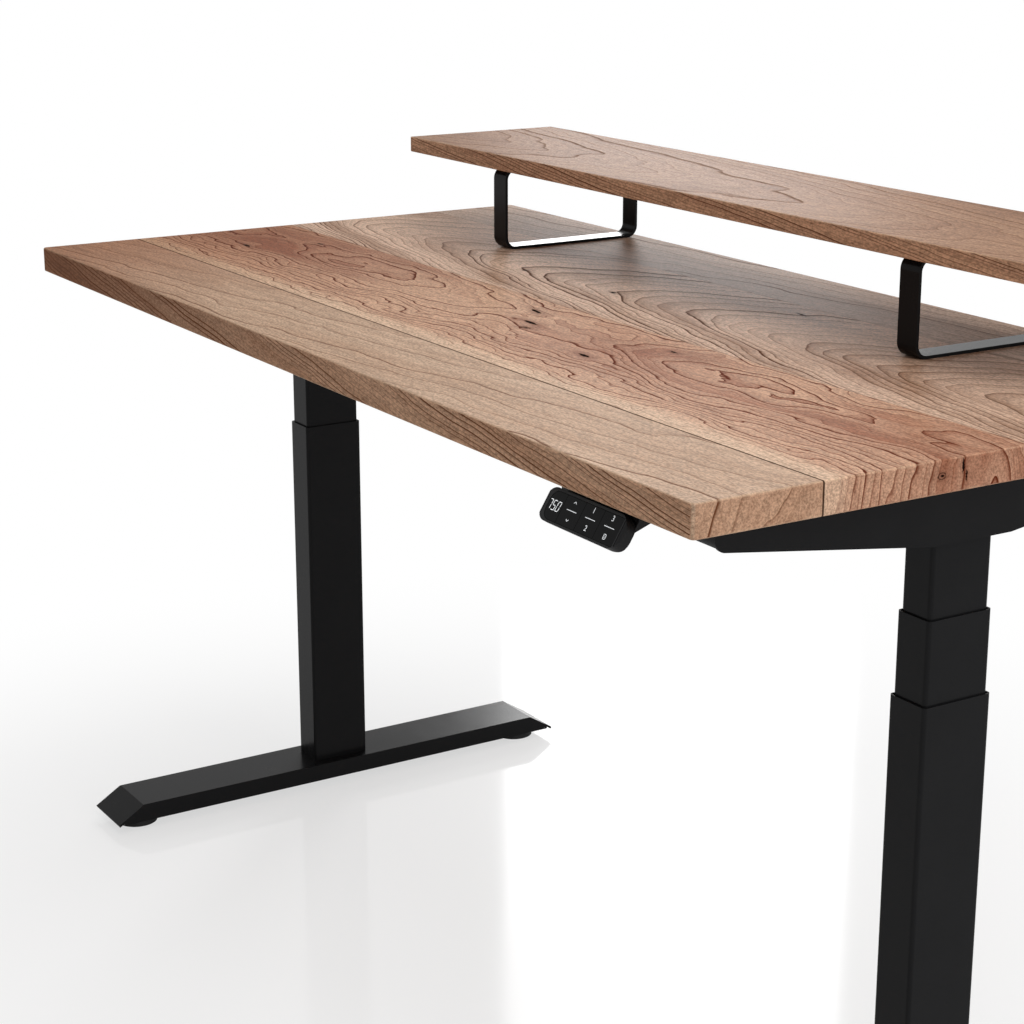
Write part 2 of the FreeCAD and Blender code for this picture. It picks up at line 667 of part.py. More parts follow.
def side_arm(side, head_holes):
    """A pressed channel, deep at the column and shallow at its tips, closed at both ends."""
    centre = side * COLUMN_X
    half = ARM_LENGTH / 2.0
    middle = ARM_MIDDLE_LENGTH / 2.0
    tip_level = UNDERSIDE - ARM_TIP_DEPTH
    outline = [(-half, UNDERSIDE), (half, UNDERSIDE), (half, tip_level), (middle, ARM_BOTTOM),
               (-middle, ARM_BOTTOM), (-half, tip_level)]
    body = prism_along_x(outline, about(centre, ARM_WIDTH))
    body = body.makeFillet(ARM_TIP_RADIUS, edges_at_level(body, tip_level))
    hollow = block(about(centre, ARM_WIDTH - 2.0 * ARM_SHEET), about(0, ARM_LENGTH - 2.0 * ARM_SHEET),
                   (ARM_BOTTOM, UNDERSIDE - ARM_SHEET))
    inner_face = centre - side * ARM_WIDTH / 2.0
    wall = sorted([inner_face, inner_face + side * ARM_SHEET])
    reach = MOTOR_FLANGE_RADIUS + MOTOR_WINDOW_MARGIN
    window = block(wall, (-reach, reach), about(MOTOR_LEVEL, 2.0 * reach))
    holes = [upright_cylinder(x, y, SCREW_HOLE_RADIUS, UNDERSIDE - ARM_SHEET, UNDERSIDE)
             for x, y in arm_screw_places(side)]
    for y, z in rail_bolt_places():
        holes.append(Part.makeCylinder(RAIL_BOLT_RADIUS + SCREW_HOLE_CLEARANCE, ARM_SHEET,
                                       vector(wall[0], y, z), vector(1, 0, 0)))
    return drilled(body.cut(hollow).cut(window), holes).cut(head_holes)


def gearbox(side):
    """A closed gear housing between the column head and the arm, bored for the drive screw."""
    centre = side * COLUMN_X
    case = rounded_block(about(centre, GEARBOX_WIDTH), about(0, GEARBOX_DEPTH),
                         (HEAD_TOP, GEARBOX_TOP), GEARBOX_RADIUS)
    bore = upright_cylinder(centre, 0, JOURNAL_RADIUS + RUNNING_CLEARANCE, HEAD_TOP,
                            JOURNAL_TOP + AXIAL_PLAY)
    return case.cut(bore)


def motor(side):
    """A round motor on the inner face of the gearbox, lying along the desk."""
    start = side * (COLUMN_SPACING - GEARBOX_WIDTH) / 2.0
    profile = [(0, 0), (0, MOTOR_FLANGE_RADIUS), (MOTOR_FLANGE_LENGTH, MOTOR_FLANGE_RADIUS),
               (MOTOR_FLANGE_LENGTH, MOTOR_RADIUS), (MOTOR_LENGTH, MOTOR_RADIUS),
               (MOTOR_LENGTH, MOTOR_CAP_RADIUS), (MOTOR_LENGTH + MOTOR_CAP_LENGTH, MOTOR_CAP_RADIUS),
               (MOTOR_LENGTH + MOTOR_CAP_LENGTH, 0)]
    points = [vector(start - side * along, radius, MOTOR_LEVEL) for along, radius in profile]
    face = Part.Face(Part.makePolygon(points + points[:1]))
    return face.revolve(vector(0, 0, MOTOR_LEVEL), vector(1, 0, 0), 360)


def rail_screw_places(end):
    """X, Y of the wood screws through the upper flange of a rail."""
    return [(side * RAIL_SCREW_SPACING / 2.0, end * RAIL_OFFSET) for side in SIDES.values()]


def rail(end):
    """A channel between the arms, open to the middle, with an end plate for each arm."""
    half = RAIL_HALF_LENGTH
    y_range = about(end * RAIL_OFFSET, RAIL_WIDTH)
    z_range = (UNDERSIDE - RAIL_HEIGHT, UNDERSIDE)
    bar = block((-half, half), y_range, z_range)
    hollow_y = sorted([end * (RAIL_OFFSET + RAIL_WIDTH / 2.0 - RAIL_SHEET),
                       end * (RAIL_OFFSET - RAIL_WIDTH / 2.0)])
    hollow = block((RAIL_END_PLATE - half, half - RAIL_END_PLATE), hollow_y,
                   (z_range[0] + RAIL_SHEET, z_range[1] - RAIL_SHEET))
    holes = [upright_cylinder(x, y, SCREW_HOLE_RADIUS, UNDERSIDE - RAIL_SHEET, UNDERSIDE)
             for x, y in rail_screw_places(end)]
    level = UNDERSIDE - RAIL_HEIGHT / 2.0
    bolt_hole = RAIL_BOLT_RADIUS + SCREW_HOLE_CLEARANCE
    for x in (-half, half - RAIL_END_PLATE):
        holes.append(Part.makeCylinder(bolt_hole, RAIL_END_PLATE, vector(x, end * RAIL_OFFSET, level),
                                       vector(1, 0, 0)))
    return drilled(bar.cut(hollow), holes)


def rail_bolts():
    """Bolts from inside each arm into the end plates of the rails."""
    bolts = []
    for side in SIDES.values():
        seat = side * (RAIL_HALF_LENGTH + ARM_SHEET)
        inward = vector(-side, 0, 0)
        for y, z in rail_bolt_places():
            head = Part.makeCylinder(RAIL_BOLT_HEAD_RADIUS, RAIL_BOLT_HEAD_HEIGHT,
                                     vector(seat + side * RAIL_BOLT_HEAD_HEIGHT, y, z), inward)
            shank = Part.makeCylinder(RAIL_BOLT_RADIUS, RAIL_BOLT_LENGTH, vector(seat, y, z), inward)
            bolts.append(fused([head, shank]))
    return Part.makeCompound(bolts)


# Control box

def ear_places():
    """X, Y of the screws through the ears of the control box."""
    reach = BOX_LENGTH + BOX_EAR_LENGTH
    return grid(0.0, reach, 0.0, BOX_EAR_SPACING)


def socket_centres():
    """Y of the three plug sockets at the left end of the control box."""
    first = BOX_DEPTH / 2.0 - SOCKET_INSET
    return [first - step * SOCKET_PITCH for step in range(3)]


def control_box():
    """A moulded tray that opens downwards, with screw ears, plug sockets and an inlet opening."""
    z_range = (UNDERSIDE - BOX_HEIGHT, UNDERSIDE)
    case = rounded_block(about(0, BOX_LENGTH), about(0, BOX_DEPTH), z_range, BOX_RADIUS)
    ears = []
    for x, y in ear_places():
        ears.append(block(about(x, 2.0 * BOX_EAR_LENGTH), about(y, BOX_EAR_WIDTH),
                          (UNDERSIDE - BOX_EAR_THICKNESS, UNDERSIDE)))
    end_wall = SOCKET_DEPTH + BOX_WALL
    inside = block((end_wall - BOX_LENGTH / 2.0, BOX_LENGTH / 2.0 - BOX_WALL),
                   about(0, BOX_DEPTH - 2.0 * BOX_WALL), (z_range[0], UNDERSIDE - BOX_WALL))
    cuts = [block((-BOX_LENGTH / 2.0, SOCKET_DEPTH - BOX_LENGTH / 2.0), about(y, SOCKET_WIDTH),
                  about(BOX_MIDDLE, SOCKET_HEIGHT)) for y in socket_centres()]
    cuts.append(block((-BOX_LENGTH / 2.0, end_wall - BOX_LENGTH / 2.0), about(INLET_Y, INLET_WIDTH),
                      about(BOX_MIDDLE, INLET_HEIGHT)))
    cuts += [upright_cylinder(x, y, SCREW_HOLE_RADIUS,
                              UNDERSIDE - BOX_EAR_THICKNESS, UNDERSIDE) for x, y in ear_places()]
    return drilled(fused([case] + ears).cut(inside), cuts)


def control_box_cover():
    """The plate that closes the control box from below."""
    bottom = UNDERSIDE - BOX_HEIGHT - BOX_COVER_THICKNESS
    return rounded_block(about(0, BOX_LENGTH), about(0, BOX_DEPTH), (bottom, bottom + BOX_COVER_THICKNESS),
                         BOX_RADIUS)


def mains_inlet():
    """A socket with three flat pins, set in the end of the control box."""
    outer_end = -BOX_LENGTH / 2.0
    back = outer_end + INLET_DEPTH
    shell = block((outer_end, back), about(INLET_Y, INLET_WIDTH), about(BOX_MIDDLE, INLET_HEIGHT))
    well = block((outer_end, back - INLET_WALL), about(INLET_Y, INLET_WIDTH - 2.0 * INLET_WALL),
                 about(BOX_MIDDLE, INLET_HEIGHT - 2.0 * INLET_WALL))
    pins = []
    for step in (-1, 0, 1):
        pin_y = about(INLET_Y + step * INLET_PIN_SPACING, INLET_PIN_WIDTH)
        pins.append(block((outer_end + INLET_WALL, back), pin_y, about(BOX_MIDDLE, INLET_PIN_HEIGHT)))
    return fused([shell.cut(well)] + pins)


# Handset

def tilted(shape):
    """Carries a shape from the handset's own frame to its place under the front edge.

    In its own frame X is along the desk, Y runs back from the face and Z up the face.
    """
    moved = shape.copy()
    moved.rotate(vector(0, 0, 0), vector(1, 0, 0), -HANDSET_TILT)
    moved.translate(vector(HANDSET_X, HANDSET_FRONT, HANDSET_BOTTOM))
    return moved


def face_point(depth, height):
    """Y and Z on the desk of a point of the handset's own frame."""
    tilt = math.radians(HANDSET_TILT)
    y = HANDSET_FRONT + height * math.sin(tilt) + depth * math.cos(tilt)
    z = HANDSET_BOTTOM + height * math.cos(tilt) - depth * math.sin(tilt)
    return y, z


def pocket_ranges():
    """X and Z limits of the pocket in the face that holds the display and the keys."""
    half = HANDSET_FACE_WIDTH / 2.0
    return ((HANDSET_RIM_SIDE - half, half - HANDSET_RIM_SIDE / 2.0),
            (HANDSET_RIM_LOW, HANDSET_FACE_HEIGHT - HANDSET_RIM_HIGH))


def with_round_left(plate, radius):
    """A plate on the face with its two left corners rounded."""
    left = plate.BoundBox.XMin
    corners = [edge for edge in edges_along(plate, vector(0, 1, 0))
               if abs(edge.BoundBox.XMin - left) < SAME_PLACE]
    return plate.makeFillet(radius, corners)


def rocker_centres():
    """X of each rocker key, counted from the right end of the pocket."""
    right = pocket_ranges()[0][1] - KEY_GAP - ROCKER_WIDTH / 2.0
    return [right - step * (ROCKER_WIDTH + KEY_GAP) for step in (2, 1, 0)]


def key_heights():
    """Lower and upper edge of the keys and the display on the face."""
    low, high = pocket_ranges()[1]
    return low + KEY_GAP, high - KEY_GAP


def rocker_axis():
    """Depth and height of the line that the rocker keys tip about."""
    low, high = pocket_ranges()[1]
    return KEY_SINK + ROCKER_THICKNESS, (low + high) / 2.0


def rocker_rib(x_range, radius):
    """The round rib that a rocker key tips on."""
    depth, height = rocker_axis()
    start = vector(x_range[0], depth, height)
    return Part.makeCylinder(radius, x_range[1] - x_range[0], start, vector(1, 0, 0))


def handset_housing():
    """A slim case with round ends, corners and lower back, with a pocket for display and keys."""
    half = HANDSET_FACE_WIDTH / 2.0
    end = half + HANDSET_END_RADIUS
    case = block((-end, end), (0, HANDSET_DEPTH), (0, HANDSET_FACE_HEIGHT))
    outline = case.makeFillet(HANDSET_CORNER_RADIUS, edges_along(case, vector(0, 1, 0)))
    uprights = [edge for edge in edges_along(case, vector(0, 0, 1))
                if abs(edge.Vertexes[0].Point.y) < SAME_PLACE]
    case = case.makeFillet(HANDSET_END_RADIUS, uprights)
    low_back = [edge for edge in edges_at_level(case, 0.0)
                if abs(edge.BoundBox.YMin - HANDSET_DEPTH) < SAME_PLACE]
    case = case.makeFillet(HANDSET_BACK_RADIUS, low_back).common(outline)
    pocket_x, pocket_z = pocket_ranges()
    case = case.cut(with_round_left(block(pocket_x, (0, KEY_POCKET_DEPTH), pocket_z), POCKET_RADIUS))
    for x in (-half, half):
        case = case.cut(block(about(x, HANDSET_GROOVE), (0, HANDSET_GROOVE), (0, HANDSET_FACE_HEIGHT)))
    depth, height = rocker_axis()
    ribs = []
    for x in rocker_centres():
        rib_x = about(x, ROCKER_WIDTH - 2.0 * ROCKER_THICKNESS)
        web = block(rib_x, (depth, KEY_POCKET_DEPTH), about(height, 2.0 * ROCKER_RIB_RADIUS))
        ribs += [rocker_rib(rib_x, ROCKER_RIB_RADIUS), web]
    return tilted(fused([case] + ribs))


def handset_display():
    """The window over the digits, left of the keys."""
    outer = pocket_ranges()[0][0] + KEY_GAP
    inner = rocker_centres()[0] - ROCKER_WIDTH / 2.0 - KEY_GAP
    window = block((outer, inner), (KEY_SINK, KEY_POCKET_DEPTH), key_heights())
    return tilted(with_round_left(window, POCKET_RADIUS - KEY_GAP))


def rocker_key(x):
    """A flat key that tips up or down on its rib."""
    plate = block(about(x, ROCKER_WIDTH), (KEY_SINK, KEY_SINK + ROCKER_THICKNESS), key_heights())
    seat = rocker_rib(about(x, ROCKER_WIDTH), ROCKER_RIB_RADIUS + GLIDE_CLEARANCE)
    return tilted(plate.cut(seat))


def mount_screw_places():
    """X, Y of the screws that hold the handset's mount under the desktop."""
    return [(HANDSET_X + side * MOUNT_SCREW_SPACING / 2.0, mount_tail() - MOUNT_SCREW_SETBACK)
            for side in SIDES.values()]


def mount_tail():
    """Y of the back end of the handset's mount."""
    return face_point(HANDSET_DEPTH, HANDSET_FACE_HEIGHT)[0] + MOUNT_LENGTH


def handset_mount(screws):
    """A wedge that carries the handset under the desktop."""
    low_y, low_z = face_point(HANDSET_DEPTH, HANDSET_FACE_HEIGHT - MOUNT_OVERLAP)
    high_y, high_z = face_point(HANDSET_DEPTH, HANDSET_FACE_HEIGHT)
    outline = [(low_y, low_z), (high_y, high_z), (high_y, UNDERSIDE), (mount_tail(), UNDERSIDE),
               (mount_tail(), UNDERSIDE - MOUNT_TAIL)]
    return prism_along_x(outline, about(HANDSET_X, HANDSET_FACE_WIDTH + HANDSET_END_RADIUS)).cut(screws)


# Wood screws from below

def wood_screw_seats():
    """X, Y and seat height of every wood screw that goes up into the desktop."""
    seats = []
    for side in SIDES.values():
        seats += [(x, y, UNDERSIDE - ARM_SHEET) for x, y in arm_screw_places(side)]
    for end in ENDS.values():
        seats += [(x, y, UNDERSIDE - RAIL_SHEET) for x, y in rail_screw_places(end)]
    seats += [(x, y, UNDERSIDE - BOX_EAR_THICKNESS) for x, y in ear_places()]
    seats += [(x, y, MOUNT_SEAT) for x, y in mount_screw_places()]
    return seats


def wood_screws():
    """Pan-head screws, each with its head against the metal or plastic that it holds."""
    screws = []
    for x, y, seat in wood_screw_seats():
        head = upright_cylinder(x, y, WOOD_SCREW_HEAD_RADIUS, seat - WOOD_SCREW_HEAD_HEIGHT, seat)
        shank = upright_cylinder(x, y, WOOD_SCREW_RADIUS, seat, UNDERSIDE + WOOD_SCREW_BITE)
        screws.append(fused([head, shank]))
    return Part.makeCompound(screws)


def wood_screw_holes():
    """Pilot holes in the desktop."""
    radius = SCREW_HOLE_RADIUS
    return [upright_cylinder(x, y, radius, UNDERSIDE, UNDERSIDE + WOOD_SCREW_BITE + SCREW_HOLE_CLEARANCE)
            for x, y, seat in wood_screw_seats()]


def mount_screw_holes():
    """Screw holes and head pockets in the handset's mount."""
    holes = []
    for x, y in mount_screw_places():
        holes.append(upright_cylinder(x, y, SCREW_HOLE_RADIUS, MOUNT_SEAT, UNDERSIDE))
        holes.append(upright_cylinder(x, y, WOOD_SCREW_HEAD_RADIUS + TUBE_CLEARANCE,
                                      HANDSET_BOTTOM, MOUNT_SEAT))
    return Part.makeCompound(holes)


def leg_pieces(side_name, side):
    """Every piece of one leg, from the foot up to the arm and the motor."""
    pieces = {
        "foot": foot(side),
        "outer_column": outer_column(side),
        "outer_glides": outer_glides(side),
        "support_tube": support_tube(side),
        "lower_nut": lower_nut(side),
        "middle_column": middle_column(side),
        "middle_glides": middle_glides(side),
        "push_tube": push_tube(side),
        "upper_nut": upper_nut(side),
        "hollow_spindle": hollow_spindle(side),
        "inner_column": inner_column(side, head_bolts(SCREW_HOLE_CLEARANCE)),
        "inner_glides": inner_glides(side),
        "drive_spindle": drive_spindle(side),
        "gearbox": gearbox(side),
        "motor": motor(side),
        "side_arm": side_arm(side, head_bolts(SCREW_HOLE_CLEARANCE)),
        "shelf_bracket": loop_bracket(side, bracket_screws(SCREW_HOLE_CLEARANCE)),
    }
    for end_name, end in ENDS.items():
        pieces[end_name + "_pad"] = levelling_pad(side, end)
    return {side_name + "_" + name: shape for name, shape in pieces.items()}


def all_pieces():
    """Every piece of the desk by name."""
    bracket_holes = bracket_screws(SCREW_HOLE_CLEARANCE).Solids
    pieces = desktop_boards(wood_screw_holes() + bracket_holes)
    pieces["monitor_shelf"] = monitor_shelf(bracket_holes)
    pieces["bracket_screws"] = bracket_screws(0.0)
    for side_name, side in SIDES.items():
        pieces.update(leg_pieces(side_name, side))
    for end_name, end in ENDS.items():
        pieces[end_name + "_rail"] = rail(end)
    pieces["foot_bolts"] = foot_bolts()
    pieces["head_bolts"] = head_bolts(0.0)
    pieces["rail_bolts"] = rail_bolts()
    pieces["wood_screws"] = wood_screws()
    pieces["control_box"] = control_box()
    pieces["control_box_cover"] = control_box_cover()
    pieces["mains_inlet"] = mains_inlet()
    pieces["handset_housing"] = handset_housing()
    pieces["handset_display"] = handset_display()
    pieces["handset_mount"] = handset_mount(mount_screw_holes())
    for name, x in zip(("height_key", "first_preset_key", "second_preset_key"), rocker_centres()):
        pieces[name] = rocker_key(x)
    return pieces


def main():
    """Builds the desk and writes one file per piece."""
    os.makedirs("parts", exist_ok=True)
    for name, shape in all_pieces().items():
        shape.exportStep(os.path.join("parts", name + ".step"))


main()
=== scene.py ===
"""Looks of a height-adjustable desk with a monitor shelf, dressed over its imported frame.

Everything is in metres, in the frame of the part: the origin is on the floor midway between the
columns, +X runs to the right, +Y to the back and +Z up. Wood figures are described in millimetres.
"""
from __future__ import annotations

import logging
import math
from collections.abc import Sequence
from dataclasses import dataclass
from enum import Enum
from typing import ClassVar

import bmesh
import bpy
from mathutils import Euler, Matrix, Vector

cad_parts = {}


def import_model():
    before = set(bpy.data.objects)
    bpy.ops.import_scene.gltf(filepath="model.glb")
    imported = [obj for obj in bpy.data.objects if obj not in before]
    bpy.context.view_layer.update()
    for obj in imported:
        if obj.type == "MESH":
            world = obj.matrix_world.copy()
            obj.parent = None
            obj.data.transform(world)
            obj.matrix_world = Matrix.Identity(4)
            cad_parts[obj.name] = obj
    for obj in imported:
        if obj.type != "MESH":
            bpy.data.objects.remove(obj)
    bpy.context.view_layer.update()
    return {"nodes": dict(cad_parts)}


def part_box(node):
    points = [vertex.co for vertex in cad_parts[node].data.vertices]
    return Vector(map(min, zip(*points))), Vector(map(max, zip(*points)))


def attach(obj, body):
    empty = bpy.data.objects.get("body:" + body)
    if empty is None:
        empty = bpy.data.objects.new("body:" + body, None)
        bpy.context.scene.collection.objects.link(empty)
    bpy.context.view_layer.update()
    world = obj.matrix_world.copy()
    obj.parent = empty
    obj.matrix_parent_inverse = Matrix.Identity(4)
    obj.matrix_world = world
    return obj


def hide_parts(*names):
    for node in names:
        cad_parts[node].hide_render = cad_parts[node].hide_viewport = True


LOG = logging.getLogger("desk")
MILLIMETRE = 0.001
SAME_PLACE = 1e-6
SAME_LEVEL = 1e-5
NOISE_MIDDLE = 0.5
MIX_FIRST, MIX_SECOND, MIX_RESULT = 6, 7, 2  # the colour sockets of a mix node, by number
NO_SHIFT = (0.0, 0.0, 0.0)
PLAIN = (1.0, 1.0, 1.0)
WHITE = (*PLAIN, 1.0)

Colour = tuple[int, int, int]
Pair = tuple[float, float]
Triple = tuple[float, float, float]
Socket = bpy.types.NodeSocket
Sockets = dict[str, Socket]
Feed = Socket | float | tuple[float, ...]
Shape = bmesh.types.BMesh


def paint(colour: Colour) -> tuple[float, float, float, float]:
    """Turn a colour picked in screen values into the linear values that shaders use.

    Args:
        colour: Red, green and blue from 0 to 255.

    Returns:
        Linear red, green, blue and a full alpha, by the standard screen curve.
    """
    shares = [channel / 255.0 for channel in colour]
    linear = [s / 12.92 if s <= 0.04045 else ((s + 0.055) / 1.055) ** 2.4 for s in shares]
    return (linear[0], linear[1], linear[2], 1.0)


def box_round(points: Sequence[Vector]) -> tuple[Vector, Vector]:
    """Find the box round some points.

    Args:
        points: The points.

    Returns:
        Its lowest and highest corners.
    """
    low = Vector([min(point[axis] for point in points) for axis in range(3)])
    high = Vector([max(point[axis] for point in points) for axis in range(3)])
    return low, high


@dataclass(frozen=True)
class Lumps:
    """Soft noise: the size of its lumps along X, Y and Z in millimetres, and its finer layers."""

    size: Triple
    detail: float = 2.0
    roughness: float = 0.5

    def pace(self) -> Triple:
        """How many lumps there are to a millimetre along each axis."""
        along, across, up = self.size
        return (1.0 / along, 1.0 / across, 1.0 / up)


class NodeBench:
    """Places nodes in one shader tree and joins them."""

    def __init__(self, tree: bpy.types.NodeTree) -> None:
        """Keep the tree that the nodes go into."""
        self.tree = tree

    def node(self, kind: str, **settings: object) -> bpy.types.Node:
        """Add a node.

        Args:
            kind: Blender's name for the kind of node.
            settings: Properties to set on it.

        Returns:
            The new node.
        """
        made = self.tree.nodes.new(kind)
        for name, value in settings.items():
            setattr(made, name, value)
        return made

    def join(self, source: Feed, target: Socket) -> None:
        """Link a socket to a target, or set the target to a plain value.

        Args:
            source: What goes in.
            target: The socket that takes it.
        """
        if isinstance(source, Socket):
            self.tree.links.new(source, target)
        else:
            target.default_value = source

    def fill(self, made: bpy.types.Node, values: Sequence[Feed]) -> bpy.types.Node:
        """Join values to a node's inputs in order.

        Args:
            made: The node.
            values: What goes in.

        Returns:
            The same node.
        """
        for socket, value in zip(made.inputs, values):
            self.join(value, socket)
        return made

    def math(self, operation: str, *values: Feed, clamp: bool = False) -> Socket:
        """Do sums on single values.

        Args:
            operation: The sum, by Blender's name.
            values: What it works on.
            clamp: Keep the result from 0 to 1.

        Returns:
            The result's socket.
        """
        made = self.node("ShaderNodeMath", operation=operation, use_clamp=clamp)
        return self.fill(made, values).outputs[0]

    def times(self, first: Feed, second: Feed, clamp: bool = False) -> Socket:
        """Multiply two numbers."""
        return self.math("MULTIPLY", first, second, clamp=clamp)

    def plus(self, first: Feed, second: Feed, clamp: bool = False) -> Socket:
        """Add two numbers."""
        return self.math("ADD", first, second, clamp=clamp)

    def minus(self, first: Feed, second: Feed) -> Socket:
        """Take the second number from the first."""
        return self.math("SUBTRACT", first, second)

    def times_plus(self, first: Feed, second: Feed, third: Feed, clamp: bool = False) -> Socket:
        """Multiply the first two numbers and add the third."""
        return self.math("MULTIPLY_ADD", first, second, third, clamp=clamp)

    def vector(self, operation: str, *values: Feed) -> Socket:
        """Do sums on vectors.

        Args:
            operation: The sum, by Blender's name.
            values: The vectors that it works on.

        Returns:
            The result's socket: a number for lengths, otherwise a vector.
        """
        made = self.fill(self.node("ShaderNodeVectorMath", operation=operation), values)
        return made.outputs["Value" if operation == "LENGTH" else "Vector"]

    def parts(self, vector: Feed) -> tuple[Socket, ...]:
        """Split a vector into its X, Y and Z."""
        return tuple(self.fill(self.node("ShaderNodeSeparateXYZ"), (vector,)).outputs)

    def whole(self, x: Feed, y: Feed, z: Feed) -> Socket:
        """Join X, Y and Z into one vector."""
        return self.fill(self.node("ShaderNodeCombineXYZ"), (x, y, z)).outputs[0]

    def even(self, value: Feed) -> Socket:
        """Use one number as all three parts of a vector."""
        return self.whole(value, value, value)

    def lump_node(self, kind: Lumps, position: Feed, shift: Feed,
                  roughness: Feed) -> bpy.types.Node:
        """Place soft noise in space.

        Args:
            kind: The noise's size and finer layers.
            position: Where, in millimetres.
            shift: Moves the noise, in lumps, so that no two boards are alike.
            roughness: How strong the finer layers are.

        Returns:
            The noise node.
        """
        made = self.node("ShaderNodeTexNoise", noise_dimensions="3D")
        self.join(self.vector("MULTIPLY_ADD", position, kind.pace(), shift), made.inputs["Vector"])
        self.join(1.0, made.inputs["Scale"])
        self.join(kind.detail, made.inputs["Detail"])
        self.join(roughness, made.inputs["Roughness"])
        return made

    def lumps(self, kind: Lumps, position: Feed, shift: Feed = NO_SHIFT) -> Socket:
        """Sample soft noise in space as one value about one half."""
        return self.lump_node(kind, position, shift, kind.roughness).outputs["Fac"]

    def wander(self, kind: Lumps, position: Feed, shift: Feed, roughness: Feed) -> Socket:
        """Sample soft noise in space as a vector about zero."""
        colour = self.lump_node(kind, position, shift, roughness).outputs["Color"]
        return self.vector("SUBTRACT", colour, (NOISE_MIDDLE,) * 3)

    def line_noise(self, along: Feed) -> Socket:
        """Sample soft noise along one number.

        Args:
            along: Where, in units of the noise's own size.

        Returns:
            The socket of a value about one half.
        """
        made = self.node("ShaderNodeTexNoise", noise_dimensions="1D")
        for name, feed in (("W", along), ("Scale", 1.0), ("Detail", 1.0)):
            self.join(feed, made.inputs[name])
        return made.outputs[0]

    def smooth(self, value: Feed, low: Feed, high: Feed, start: float = 0.0,
               end: float = 1.0) -> Socket:
        """Ease from one value to another.

        Args:
            value: What drives the change.
            low: Where the change starts.
            high: Where it ends.
            start: The result up to low.
            end: The result from high on.

        Returns:
            The eased value's socket.
        """
        made = self.node("ShaderNodeMapRange", interpolation_type="SMOOTHSTEP")
        return self.fill(made, (value, low, high, start, end)).outputs[0]

    def blend(self, factor: Feed, first: Feed, second: Feed, mode: str = "MIX") -> Socket:
        """Mix two colours.

        Args:
            factor: How much of the second.
            first: The colour at factor 0.
            second: The colour at factor 1.
            mode: How the second goes over the first, by Blender's name.

        Returns:
            The mixed colour's socket.
        """
        made = self.node("ShaderNodeMix", data_type="RGBA", blend_type=mode)
        self.join(factor, made.inputs[0])
        self.join(first, made.inputs[MIX_FIRST])
        self.join(second, made.inputs[MIX_SECOND])
        return made.outputs[MIX_RESULT]

    def use(self, group: bpy.types.NodeTree, **values: Feed) -> Sockets:
        """Place a shared effect.

        Args:
            group: The effect's node group.
            values: Its inputs by name, with _ for a space.

        Returns:
            Its outputs by name.
        """
        made = self.node("ShaderNodeGroup", node_tree=group)
        for name, value in values.items():
            self.join(value, made.inputs[name.replace("_", " ")])
        return {socket.name: socket for socket in made.outputs}


class SocketKind(Enum):
    """The kinds of socket on a shared effect."""

    NUMBER = "NodeSocketFloat"
    VECTOR = "NodeSocketVector"


@dataclass(frozen=True)
class GrowthLook:
    """How a trunk departs from plain rings: slow sways and quick ripples, and what moves them."""

    sway: Lumps = Lumps((430.0, 170.0, 170.0))
    ripple: Lumps = Lumps((120.0, 48.0, 48.0), detail=3.0)
    ripple_spread: Triple = (1.0, 1.0, 0.4)
    seed_spread: Triple = (1.0, 1.7, 0.6)


@dataclass(frozen=True)
class RingLook:
    """How the years show. A pace is how far along its noise a year goes; widths are millimetres."""

    drift_pace: float = 0.37  # years that are wider or narrower than the rest
    drift_reach: float = 1.2
    fade_pace: float = 0.17  # runs of years whose lines are weak or strong
    fade_seed: float = 3.1
    fade_range: Pair = (0.38, 0.64)
    fade_weight: Pair = (0.15, 0.45)
    chance_power: float = 3.0  # single years that stand out
    chance_weight: float = 0.75
    lip_width: float = 0.9  # the sharp outer side of a line
    lip_most: float = 0.07
    line_least: float = 1.4  # the soft inner side, wider where the line is strong
    line_growth: float = 4.6
    line_most: float = 0.4
    line_power: float = 2.0
    flat_slope: float = 0.04  # lines pale where the cut runs along a ring
    flat_strength: float = 0.4
    shade_power: float = 2.2
    shade_least: float = 0.3
    shade_growth: float = 0.6
    fine_count: float = 3.0  # hair lines within a year
    fine_range: Pair = (0.35, 0.9)
    tone_pace: float = 0.21
    tone_seed: float = 5.3


@dataclass(frozen=True)
class FibreLook:
    """The lumps that make up fibres, pores and mottling, and how much each adds to a streak."""

    thread: Lumps = Lumps((60.0, 3.4, 3.4), 5.0, 0.75)
    band: Lumps = Lumps((150.0, 8.0, 8.0), 2.0, 0.6)
    fleck: Lumps = Lumps((4.0, 2.0, 2.0), 2.0, 0.6)
    pore: Lumps = Lumps((13.0, 1.5, 1.5), 2.0, 0.6)
    mottle: Lumps = Lumps((160.0, 42.0, 42.0), 3.0, 0.55)
    thread_share: float = 0.25
    band_share: float = 0.15
    fleck_share: float = 0.6
    pore_range: Pair = (0.56, 0.74)


@dataclass(frozen=True)
class KnotLook:
    """A small knot from the middle out, in shares of its size; the wander is in millimetres."""

    ragged: Lumps = Lumps((7.0, 4.0, 4.0), 3.0)
    wander: float = 5.0
    ring_start: Pair = (0.2, 0.38)
    ring_end: Pair = (0.5, 0.74)
    edge: Pair = (0.6, 1.0)
    halo: Pair = (0.8, 3.4)


